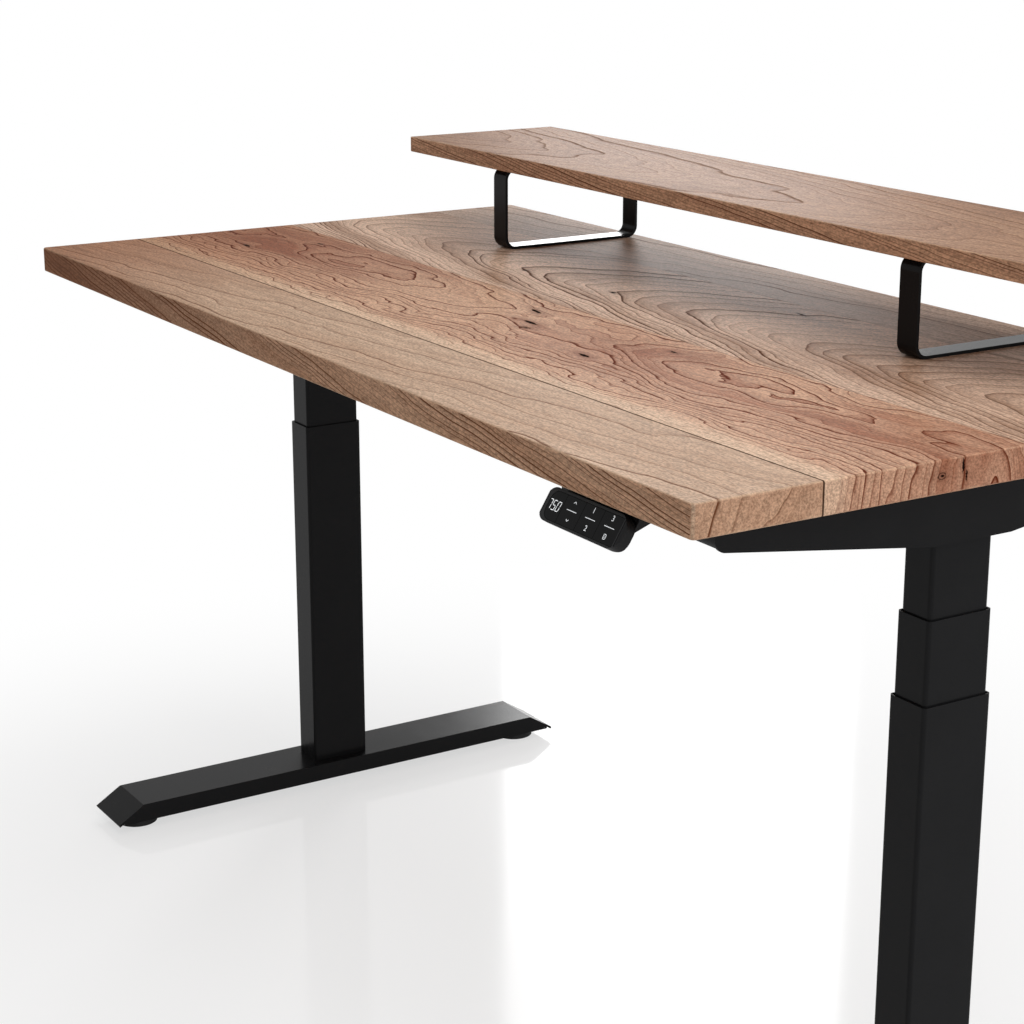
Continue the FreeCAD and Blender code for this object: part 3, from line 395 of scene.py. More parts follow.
class Effects:
    """Shared shader effects, each built once as a node group."""

    growth_look: ClassVar[GrowthLook] = GrowthLook()
    ring_look: ClassVar[RingLook] = RingLook()
    fibre_look: ClassVar[FibreLook] = FibreLook()
    knot_look: ClassVar[KnotLook] = KnotLook()
    joint_core: ClassVar[float] = 0.3  # how much of a joint's half width is fully dark
    pebble: ClassVar[Lumps] = Lumps((1.0, 1.0, 1.0), 2.0, 0.6)  # places are counted in pebbles
    cloud: ClassVar[Lumps] = Lumps((60.0, 60.0, 60.0), 3.0)

    def __init__(self) -> None:
        """Build every effect."""
        self.growth = self._growth()
        self.rings = self._rings()
        self.fibres = self._fibres()
        self.swell = self._swell()
        self.pin_knot = self._pin_knot()
        self.joint_line = self._joint_line()
        self.peel = self._peel()

    @staticmethod
    def _start(name: str, vectors: Sequence[str], numbers: Sequence[str],
               outputs: Sequence[str]) -> tuple[NodeBench, Sockets, bpy.types.Node]:
        """Open a new node group.

        Args:
            name: The group's name.
            vectors: The names of its vector inputs.
            numbers: The names of its number inputs.
            outputs: The names of its number outputs.

        Returns:
            A bench for the group, its inputs' sockets by name, and its output node.
        """
        tree = bpy.data.node_groups.new(name, "ShaderNodeTree")
        for labels, way, kind in ((vectors, "INPUT", SocketKind.VECTOR),
                                  (numbers, "INPUT", SocketKind.NUMBER),
                                  (outputs, "OUTPUT", SocketKind.NUMBER)):
            for label in labels:
                tree.interface.new_socket(name=label, in_out=way, socket_type=kind.value)
        bench = NodeBench(tree)
        start = bench.node("NodeGroupInput")
        end = bench.node("NodeGroupOutput")
        return bench, {socket.name: socket for socket in start.outputs if socket.name}, end

    @staticmethod
    def _close(bench: NodeBench, end: bpy.types.Node, **results: Socket) -> bpy.types.NodeTree:
        """Join a node group's results to its outputs.

        Args:
            bench: The group's bench.
            end: Its output node.
            results: What goes to each output, by name.

        Returns:
            The finished node group.
        """
        for label, socket in results.items():
            bench.join(socket, end.inputs[label])
        return bench.tree

    def _growth(self) -> bpy.types.NodeTree:
        """Count the years between a place and a pith line that runs along X.

        Returns:
            The node group.
        """
        bench, given, end = self._start(
            "growth", ("Position",),
            ("Pith Y", "Pith Z", "Taper", "Lean", "Sway", "Ripple", "Ragged", "Push", "Ring Width",
             "Seed"),
            ("Years",))
        look, position = self.growth_look, given["Position"]
        shift = bench.vector("MULTIPLY", bench.even(given["Seed"]), look.seed_spread)
        spread = bench.vector("MULTIPLY", bench.even(given["Ripple"]), look.ripple_spread)
        bend = bench.wander(look.ripple, position, shift, given["Ragged"])
        x, y, z = bench.parts(bench.vector("ADD", position, bench.vector("MULTIPLY", bend, spread)))
        aside = bench.minus(y, given["Pith Y"])
        across = bench.whole(0.0, aside, bench.minus(z, given["Pith Z"]))
        slow = bench.minus(bench.lumps(look.sway, position, shift), NOISE_MIDDLE)
        sway = bench.times(slow, given["Sway"])
        reach = bench.times_plus(x, given["Taper"], bench.vector("LENGTH", across))
        reach = bench.times_plus(aside, given["Lean"], reach)
        reach = bench.plus(bench.plus(reach, sway), given["Push"])
        return self._close(bench, end, Years=bench.math("DIVIDE", reach, given["Ring Width"]))

    def _rings(self) -> bpy.types.NodeTree:
        """Draw the years: a dark line that keeps its width in millimetres, after a soft shade.

        Returns:
            The node group.
        """
        bench, given, end = self._start("growth rings", (), ("Years", "Slope", "Seed"),
                                        ("Line", "Shade", "Fine", "Tone"))
        look, years, slope, seed = self.ring_look, given["Years"], given["Slope"], given["Seed"]
        drift = bench.line_noise(bench.times_plus(years, look.drift_pace, seed))
        count = bench.times_plus(drift, look.drift_reach, years)
        phase = bench.math("FRACT", count)
        chance = bench.node("ShaderNodeTexWhiteNoise", noise_dimensions="1D")
        bench.join(bench.plus(bench.math("FLOOR", count), seed), chance.inputs["W"])
        fade_start = bench.times(seed, look.fade_seed)
        fade = bench.line_noise(bench.times_plus(years, look.fade_pace, fade_start))
        weight = bench.times_plus(bench.math("POWER", chance.outputs[0], look.chance_power),
                                  look.chance_weight,
                                  bench.smooth(fade, *look.fade_range, *look.fade_weight))
        lip = bench.math("MINIMUM", bench.times(slope, look.lip_width), look.lip_most)
        width = bench.times_plus(weight, look.line_growth, look.line_least)
        share = bench.math("MINIMUM", bench.times(slope, width), look.line_most)
        late = bench.minus(1.0, lip)
        fall = bench.smooth(phase, late, 1.0, 1.0, 0.0)
        rise = bench.smooth(phase, bench.minus(late, share), late)
        thin = bench.times(bench.math("POWER", rise, look.line_power), fall)
        crisp = bench.smooth(slope, 0.0, look.flat_slope, look.flat_strength, 1.0)
        line = bench.times(thin, bench.times(weight, crisp))
        year_shade = bench.times(bench.math("POWER", phase, look.shade_power), fall)
        depth = bench.times_plus(weight, look.shade_growth, look.shade_least)
        inner = bench.math("FRACT", bench.times(count, look.fine_count))
        fine = bench.times(bench.smooth(inner, *look.fine_range),
                           bench.smooth(inner, look.fine_range[1], 1.0, 1.0, 0.0))
        tone_start = bench.times(seed, look.tone_seed)
        tone = bench.line_noise(bench.times_plus(years, look.tone_pace, tone_start))
        return self._close(bench, end, Line=line, Shade=bench.times(year_shade, depth), Fine=fine,
                           Tone=tone)

    def _fibres(self) -> bpy.types.NodeTree:
        """Draw fibres and pores that run along X, so they show as dots on an end.

        Returns:
            The node group.
        """
        bench, given, end = self._start("wood fibres", ("Position",), ("Seed",),
                                        ("Streak", "Pores", "Mottle"))
        look, shift = self.fibre_look, bench.even(given["Seed"])
        thread, band, fleck, pore, mottle = (
            bench.lumps(kind, given["Position"], shift)
            for kind in (look.thread, look.band, look.fleck, look.pore, look.mottle))
        broad = bench.times_plus(band, look.band_share, bench.times(fleck, look.fleck_share))
        streak = bench.times_plus(thread, look.thread_share, broad)
        pores = bench.smooth(pore, *look.pore_range)
        return self._close(bench, end, Streak=streak, Pores=pores, Mottle=mottle)

    def _swell(self) -> bpy.types.NodeTree:
        """Raise a soft bump in the growth of the wood, which rings close round.

        Returns:
            The node group.
        """
        bench, given, end = self._start("swell", ("Position", "Centre", "Size"), ("Height",),
                                        ("Push",))
        offset = bench.vector("SUBTRACT", given["Position"], given["Centre"])
        far = bench.vector("LENGTH", bench.vector("DIVIDE", offset, given["Size"]))
        fall = bench.math("EXPONENT", bench.times(bench.times(far, far), -1.0))
        return self._close(bench, end, Push=bench.times(fall, given["Height"]))

    def _pin_knot(self) -> bpy.types.NodeTree:
        """Draw a small dark knot or split in the wood, with a ragged edge.

        Returns:
            The node group.
        """
        bench, given, end = self._start("pin knot", ("Position", "Centre", "Size"),
                                        ("Slant", "Hollow"), ("Dark", "Halo"))
        look = self.knot_look
        x, y, z = bench.parts(bench.vector("SUBTRACT", given["Position"], given["Centre"]))
        ragged = bench.minus(bench.lumps(look.ragged, given["Position"]), NOISE_MIDDLE)
        y = bench.times_plus(x, given["Slant"], y)
        y = bench.plus(y, bench.times(ragged, look.wander))
        far = bench.vector("LENGTH", bench.vector("DIVIDE", bench.whole(x, y, z), given["Size"]))
        ring = bench.times(bench.smooth(far, *look.ring_start),
                           bench.smooth(far, *look.ring_end, 1.0, 0.0))
        kept = bench.minus(1.0, bench.times(ring, given["Hollow"]))
        dark = bench.times(bench.smooth(far, *look.edge, 1.0, 0.0), kept)
        return self._close(bench, end, Dark=dark, Halo=bench.smooth(far, *look.halo, 1.0, 0.0))

    def _joint_line(self) -> bpy.types.NodeTree:
        """Draw the fine line where two boards are glued, along X at one Y.

        Returns:
            The node group.
        """
        bench, given, end = self._start("joint line", ("Position",), ("Joint Y", "Half Width"),
                                        ("Dark",))
        y, half = bench.parts(given["Position"])[1], given["Half Width"]
        gap = bench.math("ABSOLUTE", bench.minus(y, given["Joint Y"]))
        clear = bench.smooth(gap, bench.times(half, self.joint_core), half)
        return self._close(bench, end, Dark=bench.minus(1.0, clear))

    def _peel(self) -> bpy.types.NodeTree:
        """Raise the fine pebbled skin of sprayed, cast or moulded surfaces, with slow clouds.

        Returns:
            The node group.
        """
        bench, given, end = self._start("pebbled skin", ("Position",), ("Pebble",),
                                        ("Height", "Cloud"))
        pace = bench.even(bench.math("DIVIDE", 1.0, given["Pebble"]))
        height = bench.lumps(self.pebble, bench.vector("MULTIPLY", given["Position"], pace))
        return self._close(bench, end, Height=height,
                           Cloud=bench.lumps(self.cloud, given["Position"]))


def begin_material(name: str) -> tuple[NodeBench, bpy.types.Node, Socket]:
    """Open a new material.

    Args:
        name: The material's name.

    Returns:
        A bench for its nodes, its surface shader, and the position on the object in millimetres.
    """
    material = bpy.data.materials.new(name)
    material.use_nodes = True
    material.node_tree.nodes.clear()
    bench = NodeBench(material.node_tree)
    surface = bench.node("ShaderNodeBsdfPrincipled")
    output = bench.node("ShaderNodeOutputMaterial")
    bench.join(surface.outputs[0], output.inputs["Surface"])
    place = bench.node("ShaderNodeTexCoord").outputs["Object"]
    position = bench.vector("MULTIPLY", place, (1.0 / MILLIMETRE,) * 3)
    return bench, surface, position


def add_bump(bench: NodeBench, surface: bpy.types.Node, height: Socket, strength: float,
             depth: float) -> None:
    """Give a surface a fine relief.

    Args:
        bench: The material's bench.
        surface: Its shader.
        height: The relief, from 0 to 1.
        strength: How much of it shows.
        depth: How deep it is, in metres.
    """
    bump = bench.node("ShaderNodeBump")
    bench.join(strength, bump.inputs["Strength"])
    bench.join(depth, bump.inputs["Distance"])
    bench.join(height, bump.inputs["Height"])
    bench.join(bump.outputs[0], surface.inputs["Normal"])


class Slab(Enum):
    """The slabs of wood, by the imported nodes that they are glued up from."""

    DESKTOP = ("front_board", "middle_board", "third_board", "rear_board")
    SHELF = ("monitor_shelf",)

    def corners(self) -> tuple[Vector, Vector]:
        """Measure the slab's lowest and highest corners in the frame, in millimetres."""
        return box_round([corner / MILLIMETRE for node in self.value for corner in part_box(node)])


@dataclass(frozen=True)
class Swell:
    """A soft patch right through a board, in millimetres: its place, its reach and its height."""

    x: float
    y: float
    length: float
    width: float
    height: float
    level: float = 760.0
    depth: float = 300.0


@dataclass(frozen=True)
class PinKnot:
    """A small knot or split in a board, in millimetres; slant tilts it, hollow pales a ring."""

    x: float
    y: float
    length: float
    width: float
    slant: float = 0.0
    hollow: float = 0.0
    level: float = 765.0
    depth: float = 6.0


@dataclass(frozen=True)
class JointLine:
    """The glued joint behind a board, which shows as a fine line; the width is in millimetres."""

    board: str
    half_width: float
    depth: float

    def place(self) -> float:
        """How far back the joint lies in the frame, in millimetres."""
        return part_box(self.board)[1].y / MILLIMETRE


@dataclass(frozen=True)
class OilLook:
    """How oiled wood shows what is in it, on every board. Lengths are millimetres."""

    face_band: Pair = (0.2, 0.9)  # how deep the look of a cut face goes
    ring_tone: float = 0.6
    mottle_tone: float = 0.4
    warm_range: Pair = (0.55, 0.85)
    warm_shift: float = 0.3
    warm_most: float = 0.6
    patch: Lumps = Lumps((110.0, 60.0, 60.0))  # how the outlines of patches wander
    patch_wander: Triple = (90.0, 60.0, 20.0)
    sapwood: Colour = (218, 187, 160)
    sapwood_share: float = 0.68
    sapwood_band: Pair = (20.0, 46.0)
    sapwood_wander: float = 18.0
    streak_range: Pair = (0.34, 0.66)
    streak_gain: Pair = (0.66, 1.34)
    fine_share: float = 0.16
    pore_share: float = 0.42
    # Painted shade on the front edge fades out over this span.
    front_shade_span: Pair = (-650.0, 450.0)  # along a front edge
    end_soak: float = 0.14
    # Painted sheen drifts from the left to the right tint over this span.
    sheen_span: Pair = (-760.0, -100.0)  # along the desk
    # Outer edges go paler: partly wear of the oil, partly a painted highlight.
    edge_wear_and_highlight: Colour = (222, 190, 160)
    wear_highlight_band: Pair = (2.2, 4.6)
    wear_highlight_share: float = 0.3
    wear_highlight_wander: float = 5.0
    glue: Colour = (46, 29, 21)
    knot: Colour = (26, 15, 12)
    halo_share: float = 0.35
    roughness: float = 0.42
    streak_rough: float = 0.16
    pore_rough: float = 0.1
    dark_rough: float = 0.5
    line_dark: float = 0.6
    shine: float = 0.014
    line_relief: float = 0.15
    relief_strength: float = 0.22
    relief_depth: float = 0.18


@dataclass(frozen=True)
class WoodFinish:
    """An oiled board, from how its rings lie to how its surface shines. Lengths are millimetres.

    The pith is where the trunk's middle runs, as Y and Z. Taper and lean tilt the rings along and
    across the board, and end_upright makes their lines on the ends run up. The depths say how dark
    the lines are, on the flat sides and on cut faces. The fields that start with front are for the
    front edge: its lines run aslant and are crowded, painted shade darkens it most at its left end,
    and painted light lifts its colour, as little light falls there. The left and right sheen tints
    paint a sheen on the flat sides: darker and warmer at the left, paler and greyer at the right.
    """

    name: str
    pale: Colour
    warm: Colour
    line: Colour
    pith: Pair
    taper: float
    ring_width: float
    sway: float
    ripple: float
    seed: float
    line_depth: float
    cut_depth: float
    lean: float = 0.0
    ragged: float = 0.4
    warm_share: float = 0.5
    shade_depth: float = 0.6
    end_upright: float = 0.0
    front_slant: float = 0.0
    front_rings: float = 1.0
    front_painted_shade: Pair = (0.0, 0.0)
    front_painted_light: Triple = PLAIN
    left_sheen_tint: Triple = PLAIN
    right_sheen_tint: Triple = PLAIN
    swells: tuple[Swell, ...] = ()
    blushes: tuple[Swell, ...] = ()
    knots: tuple[PinKnot, ...] = ()
    joints: tuple[JointLine, ...] = ()
    sapwood_edge: JointLine | None = None
    slab: Slab = Slab.DESKTOP
    oil: OilLook = OilLook()

    def build(self, effects: Effects) -> bpy.types.Material:
        """Make the board's material with the shared effects."""
        return BoardPainter(self, effects).finished()


class BoardPainter:
    """Paints one board: holds its shader tree and what its colour is mixed from."""

    def __init__(self, wood: WoodFinish, effects: Effects) -> None:
        """Open the material and find the board's cut faces, years and fibres.

        Args:
            wood: How the board looks.
            effects: The shared effects.
        """
        self.wood, self.oil, self.effects = wood, wood.oil, effects
        self.low, self.high = wood.slab.corners()
        self.bench, self.surface, self.position = begin_material(wood.name)
        self.x, self.y, self.z = self.bench.parts(self.position)
        self.end, self.front = self._cut_faces()
        self.cut = self.bench.math("MAXIMUM", self.end, self.front)
        self.crowd = self.bench.times_plus(self.front, wood.front_rings - 1.0, 1.0)
        self.rings = self._ring_marks()
        self.fibres = self.bench.use(effects.fibres, Position=self.position, Seed=wood.seed)

    def finished(self) -> bpy.types.Material:
        """Mix the colour and the shine.

        Returns:
            The board's material.
        """
        colour = self._with_painted_light(self._lined(self._body_colour()))
        # Paler outer edges: partly wear, partly a painted highlight.
        colour = self.bench.blend(self._wear_and_highlight(), colour, paint(self.oil.edge_wear_and_highlight))
        colour, dark = self._marked(colour)
        self.bench.join(colour, self.surface.inputs["Base Color"])
        self._set_shine(dark)
        return bpy.data.materials[self.wood.name]

    def _cut_faces(self) -> tuple[Socket, Socket]:
        """Find the faces that are not sawn along the board's flat side.

        Returns:
            A mask that is 1 on the ends, and one that is 1 on the front edge.
        """
        near, far = self.oil.face_band
        along = self.bench.math("ABSOLUTE", self.x)
        end = self.bench.smooth(along, self.high.x - far, self.high.x - near)
        front = self.bench.smooth(self.y, self.low.y + near, self.low.y + far, 1.0, 0.0)
        return end, front

    def _years(self, position: Socket) -> Socket:
        """Count the years between a place and the board's pith.

        Args:
            position: The place in millimetres.

        Returns:
            The count's socket.
        """
        bench, wood = self.bench, self.wood
        x, y, z = bench.parts(position)
        drop = bench.minus(self.high.z, z)
        level = bench.times_plus(bench.times(self.end, wood.end_upright), drop, z)
        slant = bench.times(self.front, wood.front_slant)
        push = bench.times_plus(slant, x, self._patches(position, wood.swells))
        years = bench.use(
            self.effects.growth, Position=bench.whole(x, y, level), Pith_Y=wood.pith[0],
            Pith_Z=wood.pith[1], Taper=wood.taper, Lean=wood.lean, Sway=wood.sway,
            Ripple=wood.ripple, Ragged=wood.ragged, Push=push, Ring_Width=wood.ring_width,
            Seed=wood.seed)["Years"]
        return bench.times(years, self.crowd)

    def _ring_marks(self) -> Sockets:
        """Draw the rings, with their widths from how steeply the years climb over the surface.

        Returns:
            The outputs of the growth rings.
        """
        bench = self.bench
        here = self._years(self.position)
        along = bench.whole(bench.minus(1.0, self.end), 0.0, self.end)
        aside = bench.whole(0.0, bench.minus(1.0, self.front), self.front)
        climbs = [bench.minus(here, self._years(bench.vector("ADD", self.position, step)))
                  for step in (along, aside)]
        slope = bench.math("DIVIDE", bench.vector("LENGTH", bench.whole(*climbs, 0.0)), self.crowd)
        return bench.use(self.effects.rings, Years=here, Slope=slope, Seed=self.wood.seed)

    def _patches(self, position: Socket, patches: Sequence[Swell]) -> Feed:
        """Add up soft patches with wandering outlines.

        Args:
            position: The place in millimetres.
            patches: The patches.

        Returns:
            The sum of their heights.
        """
        if not patches:
            return 0.0
        bench, kind = self.bench, self.oil.patch
        wander = bench.wander(kind, position, NO_SHIFT, kind.roughness)
        bent = bench.vector("MULTIPLY_ADD", wander, self.oil.patch_wander, position)
        total: Feed = 0.0
        for patch in patches:
            part = bench.use(self.effects.swell, Position=bent,
                             Centre=(patch.x, patch.y, patch.level),
                             Size=(patch.length, patch.width, patch.depth),
                             Height=patch.height)["Push"]
            total = bench.plus(part, total)
        return total

    def _body_colour(self) -> Socket:
        """Mix the wood's own colour from its years and fibres.

        Returns:
            The colour's socket.
        """
        bench, wood, oil, rings, fibres = self.bench, self.wood, self.oil, self.rings, self.fibres
        cloud = bench.plus(bench.times(rings["Tone"], oil.ring_tone),
                           bench.times(fibres["Mottle"], oil.mottle_tone))
        low, high = (edge - oil.warm_shift * wood.warm_share for edge in oil.warm_range)
        warmth = bench.plus(bench.smooth(cloud, low, high, 0.0, oil.warm_most),
                            self._patches(self.position, wood.blushes))
        warmth = bench.times_plus(rings["Shade"], wood.shade_depth, warmth, clamp=True)
        colour = bench.blend(warmth, paint(wood.pale), paint(wood.warm))
        if wood.sapwood_edge is not None:
            depth = bench.times_plus(fibres["Mottle"], oil.sapwood_wander, self.y)
            low, high = (wood.sapwood_edge.place() + width for width in oil.sapwood_band)
            sap = bench.smooth(depth, low, high, oil.sapwood_share, 0.0)
            colour = bench.blend(sap, colour, paint(oil.sapwood))
        shade = bench.smooth(fibres["Streak"], *oil.streak_range, *oil.streak_gain)
        colour = bench.blend(1.0, colour, bench.even(shade), "MULTIPLY")
        for mask, share in ((rings["Fine"], oil.fine_share), (fibres["Pores"], oil.pore_share)):
            colour = bench.blend(bench.times(mask, share), colour, paint(wood.line))
        return colour

    def _lined(self, colour: Socket) -> Socket:
        """Draw the dark line at the end of each year, painted shade on the front edge, and the oil
        that soaks into the ends.

        Args:
            colour: The wood's colour so far.

        Returns:
            The colour's socket.
        """
        bench, wood = self.bench, self.wood
        depth = bench.times_plus(self.cut, wood.cut_depth - wood.line_depth, wood.line_depth)
        strength = bench.times(self.rings["Line"], depth, clamp=True)
        colour = bench.blend(strength, colour, paint(wood.line))
        # Painted shade: the front edge is darkened, most at its left end.
        front_shade = bench.smooth(self.x, *self.oil.front_shade_span, *wood.front_painted_shade)
        shade_and_end_soak = bench.times_plus(self.front, front_shade, bench.times(self.end, self.oil.end_soak))
        return bench.blend(shade_and_end_soak, colour, paint(wood.line))

    def _with_painted_light(self, colour: Socket) -> Socket:
        """Paint a sheen that grows from left to right on the flat sides, and paint light onto the
        front edge.

        Args:
            colour: The wood's colour so far.

        Returns:
            The colour's socket.
        """
        bench, wood = self.bench, self.wood
        # Painted sheen: on the flat sides the colour goes from the left tint to the paler, greyer
        # right tint.
        right = bench.blend(self.cut, (*wood.right_sheen_tint, 1.0), WHITE)
        drift = bench.smooth(self.x, *self.oil.sheen_span)
        tint = bench.blend(drift, (*wood.left_sheen_tint, 1.0), right)
        colour = bench.blend(1.0, colour, tint, "MULTIPLY")
        # Painted light: the front edge's colour is lifted, as little light falls on it.
        return bench.blend(self.front, colour, (*wood.front_painted_light, 1.0), "MULTIPLY")

    def _wear_and_highlight(self) -> Socket:
        """Find the outer edges of the slab, which go paler: partly worn oil, partly a painted
        highlight.

        Returns:
            How strongly an edge is worn and highlighted.
        """
        bench, middle, half = self.bench, (self.low + self.high) / 2.0, (self.high - self.low) / 2.0
        along, aside, down = (
            bench.minus(half[axis], bench.math("ABSOLUTE", bench.minus(place, middle[axis])))
            for axis, place in enumerate((self.x, self.y, self.z)))
        # Only along an edge is the second nearest of the outer faces close by.
        farther = bench.math("MINIMUM", bench.math("MAXIMUM", along, aside), down)
        second = bench.math("MAXIMUM", bench.math("MINIMUM", along, aside), farther)
        ragged = bench.times_plus(self.fibres["Mottle"], self.oil.wear_highlight_wander, second)
        return bench.smooth(ragged, *self.oil.wear_highlight_band, self.oil.wear_highlight_share, 0.0)

    def _marked(self, colour: Socket) -> tuple[Socket, Socket]:
        """Draw the glued joints and the knots.

        Args:
            colour: The wood's colour so far.

        Returns:
            The colour's socket, and how dark the marks and lines are.
        """
        bench, oil = self.bench, self.oil
        dark = bench.times(self.rings["Line"], oil.line_dark)
        for joint in self.wood.joints:
            mask = bench.use(self.effects.joint_line, Position=self.position, Joint_Y=joint.place(),
                             Half_Width=joint.half_width)["Dark"]
            colour = bench.blend(bench.times(mask, joint.depth), colour, paint(oil.glue))
            dark = bench.math("MAXIMUM", dark, mask)
        for knot in self.wood.knots:
            mark = bench.use(self.effects.pin_knot, Position=self.position,
                             Centre=(knot.x, knot.y, knot.level),
                             Size=(knot.length, knot.width, knot.depth),
                             Slant=knot.slant, Hollow=knot.hollow)
            halo = bench.times(mark["Halo"], oil.halo_share)
            colour = bench.blend(halo, colour, paint(self.wood.line))
            colour = bench.blend(mark["Dark"], colour, paint(oil.knot))
            dark = bench.math("MAXIMUM", dark, mark["Dark"])
        return colour, dark

    def _set_shine(self, dark: Socket) -> None:
        """Set how the oil shines, and the relief of the fibres.

        Args:
            dark: How dark the marks and lines are.
        """
        bench, oil = self.bench, self.oil
        streak, pores = self.fibres["Streak"], self.fibres["Pores"]
        dull = bench.times_plus(streak, oil.streak_rough, bench.times(pores, oil.pore_rough))
        dull = bench.times_plus(dark, oil.dark_rough, dull)
        dull = bench.plus(dull, oil.roughness, clamp=True)
        bench.join(dull, self.surface.inputs["Roughness"])
        bench.join(oil.shine, self.surface.inputs["Specular IOR Level"])
        raised = bench.times_plus(self.rings["Line"], oil.line_relief, streak)
        add_bump(bench, self.surface, bench.minus(raised, pores), oil.relief_strength,
                 oil.relief_depth * MILLIMETRE)


FRONT_JOINT = JointLine("front_board", half_width=1.5, depth=0.95)
CENTRE_JOINT = JointLine("middle_board", half_width=0.45, depth=0.5)
REAR_JOINT = JointLine("third_board", half_width=0.45, depth=0.4)

WOODS = {
    # The front board's front edge has painted shade and painted light, and its top a painted sheen.
    "front_board_wood": WoodFinish(
        name="quiet tan board", pale=(192, 155, 128), warm=(166, 126, 99), line=(100, 60, 40),
        pith=(-184.0, 345.0), taper=0.034, ring_width=9.5, sway=9.0, ripple=26.0, seed=3.7,
        line_depth=1.8, cut_depth=2.1, shade_depth=0.35, end_upright=0.85, front_slant=0.13,
        front_rings=2.0, front_painted_shade=(0.45, 0.0), front_painted_light=(1.1, 1.08, 1.06),
        left_sheen_tint=(0.71, 0.57, 0.49), right_sheen_tint=(1.09, 1.22, 1.3), joints=(FRONT_JOINT,)),
    # The middle board's top has a painted sheen, paler to the right.
    "middle_board_wood": WoodFinish(
        name="figured red board", pale=(199, 158, 131), warm=(150, 99, 76), line=(94, 42, 25),
        pith=(-62.0, 676.0), taper=0.006, ring_width=8.0, sway=30.0, ripple=78.0, seed=15.8,
        line_depth=1.65, cut_depth=1.2, warm_share=0.3, shade_depth=0.75, ragged=0.45,
        end_upright=0.8, left_sheen_tint=(0.78, 0.66, 0.56), right_sheen_tint=(1.04, 1.06, 1.05),
        sapwood_edge=FRONT_JOINT, joints=(FRONT_JOINT, CENTRE_JOINT),
        swells=(Swell(-745.0, -80.0, 130.0, 70.0, -30.0),
                Swell(-370.0, -62.0, 215.0, 72.0, -38.0),
                Swell(75.0, -72.0, 110.0, 60.0, 12.0),
                Swell(400.0, -62.0, 180.0, 72.0, -36.0),
                Swell(690.0, -42.0, 120.0, 60.0, -30.0)),
        blushes=(Swell(-620.0, -80.0, 140.0, 75.0, 0.65),
                 Swell(-390.0, -70.0, 140.0, 58.0, 0.42),
                 Swell(-150.0, -95.0, 100.0, 70.0, -0.45),
                 Swell(190.0, -72.0, 130.0, 60.0, 0.5),
                 Swell(330.0, -105.0, 170.0, 50.0, 0.35),
                 Swell(600.0, -110.0, 120.0, 50.0, 0.25),
                 Swell(640.0, -40.0, 120.0, 62.0, 0.5)),
        knots=(PinKnot(-12.0, -42.0, 16.0, 3.4, slant=0.2),
               PinKnot(37.0, -80.0, 18.0, 3.2, slant=0.1),
               PinKnot(57.0, -99.0, 9.0, 4.6, slant=-0.2, hollow=0.7),
               PinKnot(205.0, -123.0, 13.0, 3.2, slant=0.1),
               PinKnot(-575.0, -123.0, 13.0, 3.2, slant=0.1),
               PinKnot(-538.0, -38.0, 7.0, 2.6),
               PinKnot(240.0, -38.0, 7.0, 2.6),
               PinKnot(700.0, -96.0, 9.0, 5.6, hollow=0.9, level=751.0, depth=3.8),
               PinKnot(700.0, -73.0, 9.0, 1.5, level=757.0, depth=8.0),
               PinKnot(700.0, -69.0, 9.0, 1.3, level=748.0))),
    "third_board_wood": WoodFinish(
        name="arched grey-brown board", pale=(220, 187, 163), warm=(150, 114, 90),
        line=(84, 50, 33), pith=(85.0, 733.0), taper=-0.267, lean=-0.55, ring_width=11.0,
        sway=40.0, ripple=26.0, seed=9.2, line_depth=1.25, cut_depth=1.4, shade_depth=0.85,
        joints=(CENTRE_JOINT, REAR_JOINT), blushes=(Swell(350.0, 75.0, 280.0, 90.0, 0.4),),
        knots=(PinKnot(-236.0, 83.0, 6.0, 3.0),
               PinKnot(-60.0, 92.0, 6.0, 3.2, slant=0.1),
               PinKnot(155.0, 193.0, 13.0, 1.6, slant=0.2))),
    # The rear board's greyer colours are partly a painted sheen, the grey of a reflection.
    "rear_board_wood": WoodFinish(
        name="straight board with painted grey sheen", pale=(188, 160, 140), warm=(154, 124, 104),
        line=(80, 50, 36), pith=(175.0, 430.0), taper=-0.035, ring_width=7.0, sway=16.0,
        ripple=22.0, seed=8.9, line_depth=1.0, cut_depth=1.8, joints=(REAR_JOINT,)),
    # The shelf's front edge is lifted almost twofold: painted light where little light falls.
    "shelf_wood": WoodFinish(
        name="straight brown shelf", pale=(162, 126, 100), warm=(136, 100, 78), line=(80, 48, 32),
        pith=(190.0, 560.0), taper=0.045, ring_width=5.5, sway=16.0, ripple=22.0, seed=14.2,
        line_depth=0.5, cut_depth=1.5, front_slant=0.07, front_rings=1.5,
        front_painted_light=(1.75, 1.85, 1.95), slab=Slab.SHELF),
}


class Metalness(Enum):
    """Whether a finish is bare metal or a coat or moulding."""

    METAL = 1.0
    COATED = 0.0


